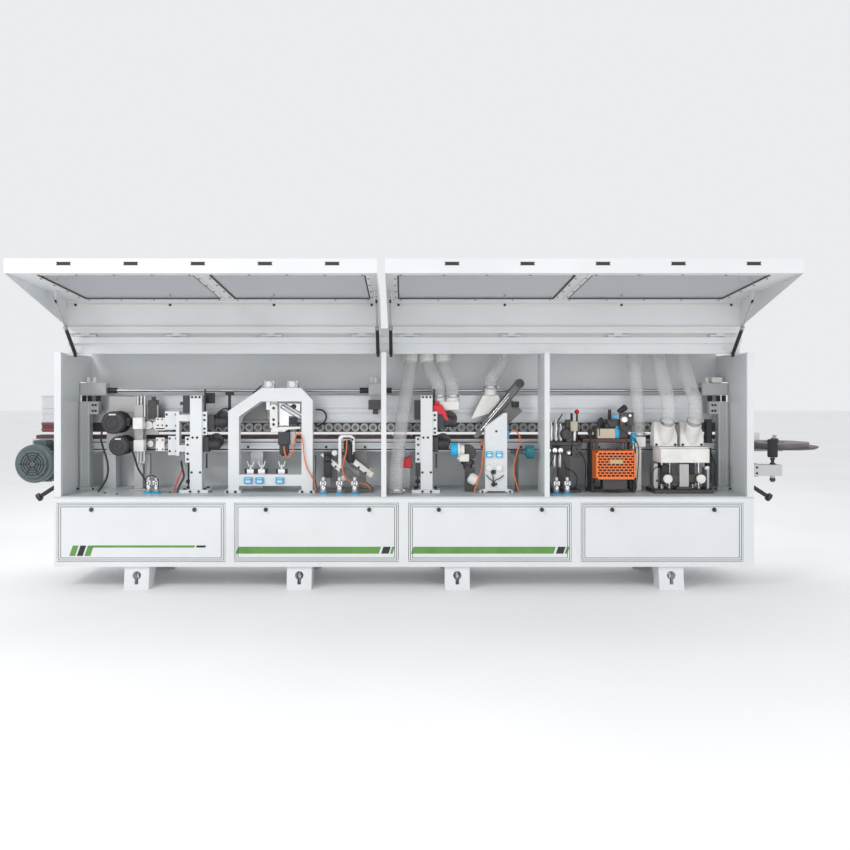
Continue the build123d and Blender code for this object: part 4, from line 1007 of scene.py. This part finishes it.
motor = motor_shell(Build(), 400, 795, -118, -52, 48)
motor.turn((398, -85, 745), (398, -85, 690), [(0, 40), (0.4, 44), (0.5, 30), (1, 26)])
motor.done("cutter_motor", "dark", bevel=0)
ends = Build()
ends.turn((330, -140, 815), (345, -140, 815), [(0, 36), (0.4, 42), (1, 42)])
ends.turn((345, -140, 815), (372, -140, 815), [(0, 30), (1, 30)])
ends.box(342, 402, -150, -108, 742, 788).turn((330, -130, 764), (344, -130, 764), [(0, 12), (1, 14)])
ends.done("cutter_cylinder", "elbow", bevel=3)
part = Build().turn((288, -140, 815), (330, -140, 815), [(0, 36), (0.1, 42), (0.9, 42), (1, 38)])
part.box(625, 652, -128, -92, 880, 935)
part.turn((638, -110, 935), (638, -110, 962), [(0, 8), (0.5, 12), (1, 8)])
part.done("blue_cylinders", "blue", bevel=3)
ribs = [(0, 30), (0.1, 42), (0.2, 42)]
ribs += [(0.25 + 0.1 * k, 40 if k % 2 else 43) for k in range(6)]
ribs += [(0.9, 42), (1, 34)]
part = Build().turn((757, -100, 798), (812, -100, 798), ribs, 32)
part.rod((740, -100, 798), (757, -100, 798), 16)
part.done("round_motor", "teal", bevel=0)
part = Build().box(664, 742, -112, -90, 788, 812)
part.box(690, 712, -110, -90, TABLE_TOP, 790)
part.box(380, 440, -110, -60, TABLE_TOP, 700)
part.done("cutter_posts", "dark", bevel=2)
part = Build().turn((400, -150, 650), (452, -150, 620), [(0, 22), (0.2, 34), (0.8, 34), (1, 20)])
part.done("white_cup", "elbow", bevel=0)
knob = Build().turn((550, -176, 604), (550, -160, 604), [(0, 8), (0.2, 14), (1, 12)])
knob.box(536, 564, -168, -160, 668, 692)
knob.done("post_knob", "black", bevel=1)
wires = {
    "trimmer_arch": arch,
    "post_cable_left": [(506, -166, 664), (520, -172, 640), (540, -174, 632), (550, -174, 615)],
    "post_cable_right": [(612, -166, 660), (590, -172, 640), (562, -174, 632), (552, -174, 615)],
    "post_cable_drop": [(545, -166, 690), (546, -172, 660), (550, -174, 620)],
    "gantry_ring": ring_points,
    "filter_loop": [(-1570, -222, 580), (-1580, -224, 620), (-1562, -222, 660), (-1530, -222, 668),
        (-1500, -222, 650), (-1490, -224, 612), (-1496, -222, 580)],
    "side_wire": [(-552, -112, 780), (-545, -118, 730), (-552, -120, 670), (-550, -122, 610),
        (-540, -122, 574)],
    "press_wire_left": [(930, -156, 806), (922, -168, 770), (896, -172, 720), (884, -172, 660),
        (900, -170, 600), (906, -168, 572)],
    "press_wire_mid": [(965, -156, 806), (972, -170, 760), (1000, -172, 700), (994, -170, 630),
        (960, -168, 586), (948, -164, 570)],
    "press_wire_low": [(1000, -112, 700), (1040, -150, 690), (1072, -156, 640), (1056, -156, 590),
        (1062, -150, 569)],
    "press_wire_right": [(1085, -132, 800), (1112, -148, 770), (1124, -150, 700), (1116, -146, 630),
        (1124, -140, 556)],
    "glue_wire_top": [(1322, -126, 950), (1350, -140, 940), (1396, -140, 900), (1446, -134, 866),
        (1456, -130, 790), (1450, -126, 690), (1440, -124, 572)],
    "glue_wire_left": [(1240, -66, 1006), (1226, -100, 1020), (1196, -128, 980), (1186, -132, 910),
        (1130, -134, 850), (1138, -132, 780), (1136, -128, 660), (1140, -122, 572)],
    "premill_wire": [(1600, -134, 700), (1560, -172, 716), (1524, -182, 690), (1514, -186, 640),
        (1522, -190, 590), (1540, -196, 576)],
    "premill_drop": [(1918, -62, 800), (1930, -80, 760), (1946, -92, 690), (1936, -96, 620),
        (1950, -100, 556)],
}
for name, points in wires.items():
    wire(name, points, THICK_WIRE if name in ("gantry_ring", "trimmer_arch") else THIN_WIRE, "cable")
red_wires = {"red_wire_a": [(-1404, -185, 556), (-1400, -180, 600), (-1380, -170, 640), (-1366, -160, 690)],
        "red_wire_b": [(-1412, -182, 556), (-1396, -176, 620), (-1372, -164, 670), (-1368, -156, 700)]}
for name, points in red_wires.items():
    wire(name, points, 2.5, "red")

# ------------------------------------------------------------------ right bay

press = Build().box(900, 1090, -150, -10, TABLE_TOP, 568)
press.box(960, 1030, -110, -50, 568, 840)
press.box(880, 1100, -130, 0, 840, 862)
press.box(1005, 1045, -125, -75, 862, 1000).box(994, 1026, 4, 32, 840, 864).box(870, 905, -120, -60, 700, 840)
press.box(1040, 1100, -128, -80, 770, 840)
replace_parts(press.done("press_frame", "dark", bevel=3), "press_unit")
cylinders = Build()
for i, x in enumerate((885, 915, 945, 975, 1060)):
    top = 975 + 14 * (i % 3)
    cylinders.turn((x, -100, 862), (x, -100, top),
        [(0, 12), (0.05, 15), (0.7, 15), (0.74, 12), (0.8, 12), (0.82, 8), (1, 7)])
for x in (890, 930, 965):
    cylinders.turn((x, -136, 812), (x, -156, 812), [(0, 16), (0.3, 19), (1, 14)])
    cylinders.turn((x, -126, 700), (x, -126, 790), [(0, 8), (0.1, 13), (0.9, 13), (1, 8)])
cylinders.rod((1010, 18, 862), (1010, 18, 952), 9)
cylinders.turn((1018, -132, 795), (1018, -150, 795), [(0, 14), (0.5, 18), (1, 9)], 8)
cylinders.done("press_cylinders", "chrome", bevel=0)
part = Build().turn((1085, -60, 862), (1085, -60, 1040), [(0, 7), (0.9, 6), (1, 4)])
part.rod((1044, -100, 985), (1044, -100, 1040), 8)
part.rod((905, -80, 990), (870, -80, 1030), 4)
part.rod((960, -80, 985), (990, -80, 1035), 4)
part.done("press_levers", "black", bevel=0)
part = Build().turn((1085, -60, 1033), (1085, -60, 1062), [(0, 6), (0.2, 13), (0.5, 15.5), (0.8, 13), (1, 5)])
part.done("press_ball", "red", bevel=0)
Build().box(1028, 1072, -150, -126, 930, 990).done("press_beige_box", "beige", bevel=3)
disc = Build().turn((1002, -150, 912), (1002, -126, 912), [(0, 12), (0, 30), (0.2, 34), (1, 36)], 36)
disc.ring((1002, -156, 912), (1002, -150, 912), 24, 17, 30)
disc.done("press_dial", "dark", bevel=0)
screw_plate("press_screws", [(x, -130, 851) for x in (895, 940, 1040, 1085)]
    + [(1070, -128, 820), (1070, -128, 785)], radius=6, depth=3)

glue = Build().box(1150, 1430, -120, 0, TABLE_TOP, 570)
glue.box(1160, 1180, -110, -10, 570, 860)
glue.box(1400, 1420, -110, -10, 570, 860)
glue.box(1270, 1400, -90, 10, 882, 1000)
glue.box(1340, 1425, -122, -92, 960, 1045)
glue.box(1190, 1250, -85, -50, 882, 950)
glue.box(1185, 1205, -126, -110, 780, 860)
glue.box(1365, 1385, -126, -110, 780, 860)
glue.box(1215, 1365, -200, -130, 575, 640)
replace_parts(glue.done("glue_frame", "dark", bevel=3), "glue_unit")
part = Build().box(1110, 1440, -125, 30, 860, 882)
part.box(1100, 1300, -70, 20, 884, 900)
part.done("glue_platform", "chain", bevel=3)
Build().box(1200, 1312, -122, -92, 884, 944).done("glue_beige_block", "beige", bevel=3)
blues = Build().turn((1325, -106, 884), (1325, -106, 958), [(0, 12), (0.1, 16), (0.7, 16), (0.8, 11), (1, 9)])
blues.turn((1425, -110, 850), (1425, -110, 915), [(0, 12), (0.1, 18), (0.75, 18), (0.85, 12), (1, 9)])
blues.turn((1312, -124, 1020), (1312, -132, 1020), [(0, 14), (1, 12)])
blues.done("glue_blue_caps", "blue", bevel=0)
part = Build().rod((1425, -110, 690), (1425, -110, 850), 4)
part.rod((1230, 20, 882), (1230, 20, 952), 9)
part.turn((1365, -122, 1000), (1365, -134, 1000), [(0, 22), (0.4, 24), (1, 16)])
part.turn((1400, -122, 1026), (1400, -132, 1026), [(0, 10), (1, 8)])
part.done("glue_fittings", "chrome", bevel=0)
rods = Build()
for x in (1165, 1415):
    rods.turn((x, -150, 556), (x, -150, 640), [(0, 12), (0.1, 9), (0.7, 7), (0.8, 14), (1, 12)])
rods.turn((1240, -60, 950), (1240, -60, 1010), [(0, 10), (0.3, 14), (1, 8)])
rods.turn((1290, -60, 1000), (1290, -60, 1062), [(0, 12), (1, 9)])
rods.turn((1340, -80, 1045), (1390, -80, 1080), [(0, 16), (0.8, 20), (1, 14)])
rods.turn((1160, -96, 882), (1160, -96, 940), [(0, 10), (0.5, 10), (0.5, 15), (0.9, 16), (1, 11)])
rods.turn((1212, -118, 900), (1212, -118, 1000), [(0, 5), (0.6, 5), (0.62, 9), (1, 8)])
rods.turn((1262, -92, 960), (1262, -112, 960), [(0, 16), (0.7, 18), (1, 12)], 8)
rods.turn((1382, -122, 975), (1382, -150, 975), [(0, 6), (0.3, 6), (0.35, 12), (1, 9)], 12)
rods.done("glue_knobs", "black", bevel=0)
screw_plate("glue_screws", [(x, -125, 871) for x in (1125, 1180, 1380, 1425)]
    + [(x, -90, z) for x in (1282, 1300) for z in (950, 990)]
    + [(x, -110, z) for x in (1170, 1410) for z in (600, 830)], radius=6, depth=3)

gx0, gx1, gy0, gy1, gz0, gz1 = span("glue_guard")
guard = Build()
ROWS, SLOT_WIDTH, WEB, BORDER, SHEET = 9, 20, 6, 12, 2
row_height = (gz1 - gz0 - 2 * BORDER) / ROWS
for x0, x1, z0, z1 in ((gx0, gx1, gz0, gz0 + BORDER), (gx0, gx1, gz1 - BORDER, gz1),
                       (gx0, gx0 + BORDER, gz0, gz1), (gx1 - BORDER, gx1, gz0, gz1)):
    guard.box(x0, x1, gy0, gy0 + SHEET, z0, z1)
for row in range(ROWS):
    low = gz0 + BORDER + row * row_height
    guard.box(gx0 + BORDER, gx1 - BORDER, gy0, gy0 + SHEET, low, low + WEB)
    x = gx0 + BORDER + (row % 2) * (SLOT_WIDTH + WEB) / 2
    while x < gx1 - BORDER - WEB:
        guard.box(x, x + WEB, gy0 + 0.2, gy0 + SHEET - 0.2, low + WEB, low + row_height)
        x += SLOT_WIDTH + WEB
for x in (gx0, gx1 - SHEET):
    guard.box(x, x + SHEET, gy0, gy1, gz0, gz1)
for z in (gz0, gz1 - SHEET):
    guard.box(gx0, gx1, gy0, gy1, z, z + SHEET)
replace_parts(guard.done("perforated_guard", "orange", bevel=0.5), "glue_guard")
Build().box(gx0 + 6, gx1 - 6, gy0 + 24, gy1 - 4, gz0 + 6, gz1 - 6).done("glue_pot", "motor", bevel=4)
Build().box(1250, 1330, gy0 - 1.5, gy0 + 0.1, 736, 762).done("guard_sticker", "brass", bevel=0.4)
part = Build().turn((1295, gy0 + 14, gz1), (1295, gy0 + 14, gz1 + 12), [(0, 9), (0.6, 9), (1, 6)], 6)
part.done("guard_bolt", "black")

knurl = Build().turn((1230, 20, 886), (1230, 20, 944), [(0, 22), (0.04, 24), (0.96, 24), (1, 22)], 48)
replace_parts(knurl.done("glue_wheel", "brass", "glue_roller", bevel=0), "glue_roller")
tyre = Build().turn((1010, 18, 866), (1010, 18, 945), [(0, 27), (0.05, 30), (0.95, 30), (1, 27)], 40)
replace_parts(tyre.done("press_wheel", "steel", "press_roller", bevel=0), "press_roller")

mill = Build().box(1530, 1890, -210, -20, TABLE_TOP, 574)
mill.box(1580, 1850, -170, -140, 615, 665)
mill.box(1670, 1768, -186, -118, 574, 590)
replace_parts(mill.done("premill_base", "dark", bevel=2.5), "premill_unit")
part = Build().box(1690, 1748, -180, -120, 590, 730)
part.box(1540, 1566, -150, -60, 574, 730)
part.box(1868, 1884, -150, -60, 574, 700)
part.done("premill_column", "plate", bevel=2)
outline = [(1572, -195), (1870, -195), (1870, -60), (1560, -60), (1560, -150)]
box = Build().solid([[(x, y, z) for x, y in outline] for z in (738, 824)])
outline = [(1566, -175), (1876, -175), (1876, -50), (1556, -50)]
box.solid([[(x, y, z) for x, y in outline] for z in (824, 833)])
box.done("premill_box", "elbow", bevel=9)
rods = Build()
for x in (1600, 1650, 1790, 1830):
    rods.rod((x, -110, 574), (x, -110, 738), 9)
    rods.turn((x, -110, 574), (x, -110, 592), [(0, 15), (0.8, 15), (1, 11)])
rods.done("premill_rods", "chrome", bevel=0)
SPRING_TURNS, TURN_STEPS, SPRING_RADIUS = 15, 10, 13
SPRING_BASE, SPRING_HEIGHT = 600, 128
for x in (1650, 1790):
    coil = []
    for step in range(SPRING_TURNS * TURN_STEPS + 1):
        angle = 2 * math.pi * step / TURN_STEPS
        height = SPRING_BASE + SPRING_HEIGHT * step / (SPRING_TURNS * TURN_STEPS)
        coil.append((x + SPRING_RADIUS * math.cos(angle), -110 + SPRING_RADIUS * math.sin(angle), height))
    wire(f"premill_spring_{x}", coil, 1.8, "steel", (2, 1))
knobs = Build()
for x in (1612, 1815):
    knobs.turn((x, -170, 640), (x, -209, 640), [(0, 14), (0.3, 14), (0.35, 26), (0.9, 28), (1, 24)], 20)
knobs.turn((1848, -180, 700), (1862, -196, 712), [(0, 8), (0.5, 13), (1, 9)])
knobs.done("premill_knobs", "elbow", bevel=0)
details = Build().box(1592, 1640, -132, -112, 600, 720).box(1770, 1800, -132, -112, 600, 730)
details.box(1590, 1626, -118, -60, 700, 737)
details.box(1900, 1935, -60, -10, 850, 1000)
details.box(1905, 1930, -62, -10, 600, 820)
for x in (1560, 1650, 1765, 1860):
    details.turn((x, -140, 625), (x, -152, 625), [(0, 10), (0.6, 10), (1, 7)], 6)
details.done("premill_details", "black", bevel=2)
screw_plate("premill_screws", [(x, -185, 574) for x in (1545, 1640, 1770, 1875)], radius=9, depth=7,
    toward=UPWARD)

# ---------------------------------------------------------------- outboard ends

REEL, GUIDE = (2336, -35), (2205, -305)
MOTOR_X, MOTOR_Z = -2285, 728
motor = Build()
cowl = [(0, 30), (0, 84), (0.03, 88), (0.09, 92), (0.09, 112), (0.13, 119), (0.34, 119), (0.35, 104),
    (0.92, 104), (0.93, 119), (1, 119)]
motor.turn((MOTOR_X, -168, MOTOR_Z), (MOTOR_X, 40, MOTOR_Z), cowl, 56)
fins(motor, MOTOR_X, MOTOR_Z, -96, 24, 98, 118, 44)
motor.box(-2323, -2247, -60, 40, 808, 868).box(-2345, -2225, -40, 20, 606, 622)
motor.box(-2240, -2176, -70, 10, 690, 770)
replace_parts(motor.done("feed_motor", "outer_motor", bevel=1.2), "drive_motor")
grille = Build()
for radius in (24, 40, 56, 72):
    grille.ring((MOTOR_X, -171, MOTOR_Z), (MOTOR_X, -167, MOTOR_Z), radius, radius - 5, 40)
for k in range(6):
    angle = math.pi * k / 3
    spoke = Vector((math.cos(angle), 0, math.sin(angle)))
    hub = Vector((MOTOR_X, -170, MOTOR_Z))
    grille.rod(hub + spoke * 14, hub + spoke * 80, 2.5, 8)
grille.done("feed_motor_grille", "black", bevel=0)

reel = Build().turn((*REEL, 820), (*REEL, 835),
    [(0, 60), (0, 236), (0.3, 246), (0.6, 250), (1, 250), (1, 243), (0.7, 240), (0.7, 60)], 96)
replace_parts(reel.done("reel_tray", "tray", "tape_reel", bevel=0), "tape_reel")
coil = [(0, 60)]
for k in range(24):
    radius = 62 + k * 5.7
    coil += [(1, radius), (1, radius + 4.4), (0.9, radius + 5)]
coil.append((0, 200))
tape = Build().turn((*REEL, 832), (*REEL, 857.5), coil, 72)
tape.done("tape_roll", "tape", "tape_reel", bevel=0)
part = Build().turn((*REEL, 828), (*REEL, 880), [(0, 58), (0.62, 58), (0.66, 26), (0.9, 24), (1, 18)], 32)
part.done("reel_hub", "tray", "tape_reel", bevel=0)
part = Build().turn((2542, -35, 835), (2542, -35, 862), [(0, 6), (0.35, 6), (0.45, 11), (0.9, 12), (1, 8)], 16)
part.done("reel_peg", "elbow", "tape_reel", bevel=0)
roller = Build().turn((*GUIDE, 782), (*GUIDE, 889),
    [(0, 12), (0, 26), (0.06, 29), (0.94, 29), (1, 26), (1, 12)], 40)
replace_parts(roller.done("foam_roller", "foam", "guide_roller", bevel=0), "guide_roller")
spindle = Build().turn((*GUIDE, 739), (*GUIDE, 778),
    [(0, 16), (0.2, 16), (0.25, 10), (0.7, 10), (0.75, 14), (1, 14)])
spindle.turn((*GUIDE, 675), (*GUIDE, 634), [(0, 9), (0.3, 9), (0.45, 16), (0.75, 17), (1, 8)])
spindle.turn((*GUIDE, 890), (*GUIDE, 899), [(0, 12), (1, 8)], 6)
spindle.done("guide_spindle", "black", bevel=0)
part = Build().box(2077, 2112, -330, -282, 668, 746)
part.box(2240, 2247, -341, -269, 679, 735)
part.done("arm_end_plates", "grey", bevel=2)
screw_plate("arm_screws", [(2095, -345, 690), (2095, -345, 724)], radius=7, depth=3)
tray = Build().box(2080, 2215, -110, -20, 866, 926)
tray.box(2080, 2112, -110, -20, 800, 870)
tray.box(2180, 2215, -60, -20, 818, 842)
tray.done("reel_brake_box", "elbow", bevel=10)
bosses = Build()
for side in (-1, 1):
    bosses.turn((side * 2077, -200, 620), (side * 2103, -200, 620), [(0, 24), (0.5, 24), (0.6, 19), (1, 17)])
bosses.done("leg_bosses", "black", bevel=0)
ends = Build()
for side in (-1, 1):
    ends.turn((side * 2091, -200, 618), (side * 2225, -200, 532), [(0, 12.6), (1, 12.6)])
    ends.turn((side * 2218, -200, 537), (side * 2237, -200, 523), [(0, 22), (0.2, 25), (0.8, 25), (1, 20)])
ends.done("diagonal_rods", "black", bevel=0)
Build().box(-2354, -2340, 110, 192, 973, 1152).done("beam_end_cap", "hood_frame", "pressure_beam", bevel=3)
part = Build().box(-2352, -2084, 107.5, 111.2, 960, 968)
part.box(-2352, -2084, 107.5, 111.2, 922, 930)
part.done("rail_stripes", "red", "pressure_beam", bevel=0.6)
Build().box(-2386, -2378, 60, 190, 790, 870).done("track_end_cap", "grey", bevel=2)

# ------------------------------------------------------- cabinet and feet extras

handle = Build().box(2075, 2079, -120, -60, 180, 400)
handle.prism([(2079, 200), (2096, 215), (2096, 365), (2079, 380)], -100, -84)
handle.done("side_handle", "black", bevel=2)
socket = Build().ring((1900, 376, 300), (1900, 350, 300), 24, 10)
socket.box(1860, 1940, 350.2, 356, 262, 338)
socket.done("inlet_gland", "black", bevel=1)
vents = Build()
for i in range(4):
    for k in range(10):
        vents.box(-1640 + i * 1030, -1440 + i * 1030, 350, 352.5, 260 + k * 18, 268 + k * 18)
vents.done("rear_vents", "black", bevel=0.6)
screws = []
for left, right in ((-2056, -1063), (-1005, -35), (29, 990), (1052, 2009)):
    screws += [(x, 350, z) for x in (left + 30, right - 30) for z in (190, 490)]
screw_plate("rear_panel_screws", screws, "steel", radius=7, toward=(0, 1, 0))
screw_plate("rear_wall_screws", [(x, 240, z) for x in range(-2000, 2001, 400) for z in (1000, 1440, 580, 840)],
    "steel", radius=7, toward=(0, 1, 0))
Build().box(-2073, 2073, -131, -125, 1506, 1566).done("roof_closing_strip", "hood_frame", bevel=1)
screw_plate("roof_beam_screws", [(x, -145, 1440) for x in (-1980, -1130, -300, 300, 1130, 1980)], "hood_frame",
    radius=8, depth=3)
for x in (-1589, -623, 317, 1589):
    nut = Build()
    for y in (-300, 300):
        nut.ring((x, y, 84), (x, y, 92), 20, 10.4, 6).turn((x, y, 16), (x, y, 22), [(0, 24), (1, 13)])
    nut.done(f"levelling_nuts_{x}", "steel", bevel=0.8)

# ------------------------------------------------------- floor, light and sky

FLOOR_HALF_SIZE = 40
SKY_COLOUR, SKY_STRENGTH = (0.965, 0.975, 1.0, 1), 0.86
floor_mesh = bmesh.new()
bmesh.ops.create_grid(floor_mesh, x_segments=2, y_segments=2, size=FLOOR_HALF_SIZE)
floor_data = bpy.data.meshes.new("floor")
floor_mesh.to_mesh(floor_data)
floor_mesh.free()
floor = bpy.data.objects.new("floor", floor_data)
bpy.context.scene.collection.objects.link(floor)
floor_material, floor_tree, floor_shader = node_tree("pale_floor")
floor_tree.links.new(blend_colours(floor_tree, noise(floor_tree, 0.8, 2),
    ((0.88, 0.88, 0.885), (0.92, 0.92, 0.925))), floor_shader.inputs["Base Color"])
floor_shader.inputs["Roughness"].default_value = 0.75
floor_data.materials.append(floor_material)


def softbox(name, place, aim, size, power):
    """A rectangular lamp: places and sizes in metres, power in watts."""
    lamp = bpy.data.lights.new(name, "AREA")
    lamp.shape = "RECTANGLE"
    lamp.size, lamp.size_y = size
    lamp.energy = power
    holder = bpy.data.objects.new(name, lamp)
    holder.location = place
    holder.rotation_euler = (Vector(aim) - Vector(place)).to_track_quat("-Z", "Y").to_euler()
    bpy.context.scene.collection.objects.link(holder)


for lamp in (("key", (-3.4, -4.4, 3.9), (0.2, 0, 0.9), (1.3, 1.0), 100),
             ("fill", (3.4, -4.8, 2.0), (0, 0, 0.8), (4.0, 2.6), 26),
             ("low_front", (0, -5.2, 0.6), (0, 0, 1.2), (6.0, 1.0), 20),
             ("top", (0, 0.6, 4.6), (0, 0, 1.0), (6.0, 2.4), 46),
             ("rear", (0, 4.6, 3.0), (0, 0, 0.9), (5.0, 2.4), 34)):
    softbox(*lamp)

world = bpy.data.worlds.new("studio")
world.use_nodes = True
sky = world.node_tree.nodes["Background"].inputs
sky["Color"].default_value = SKY_COLOUR
sky["Strength"].default_value = SKY_STRENGTH
bpy.context.scene.world = world
bpy.context.scene.view_settings.view_transform = "Standard"
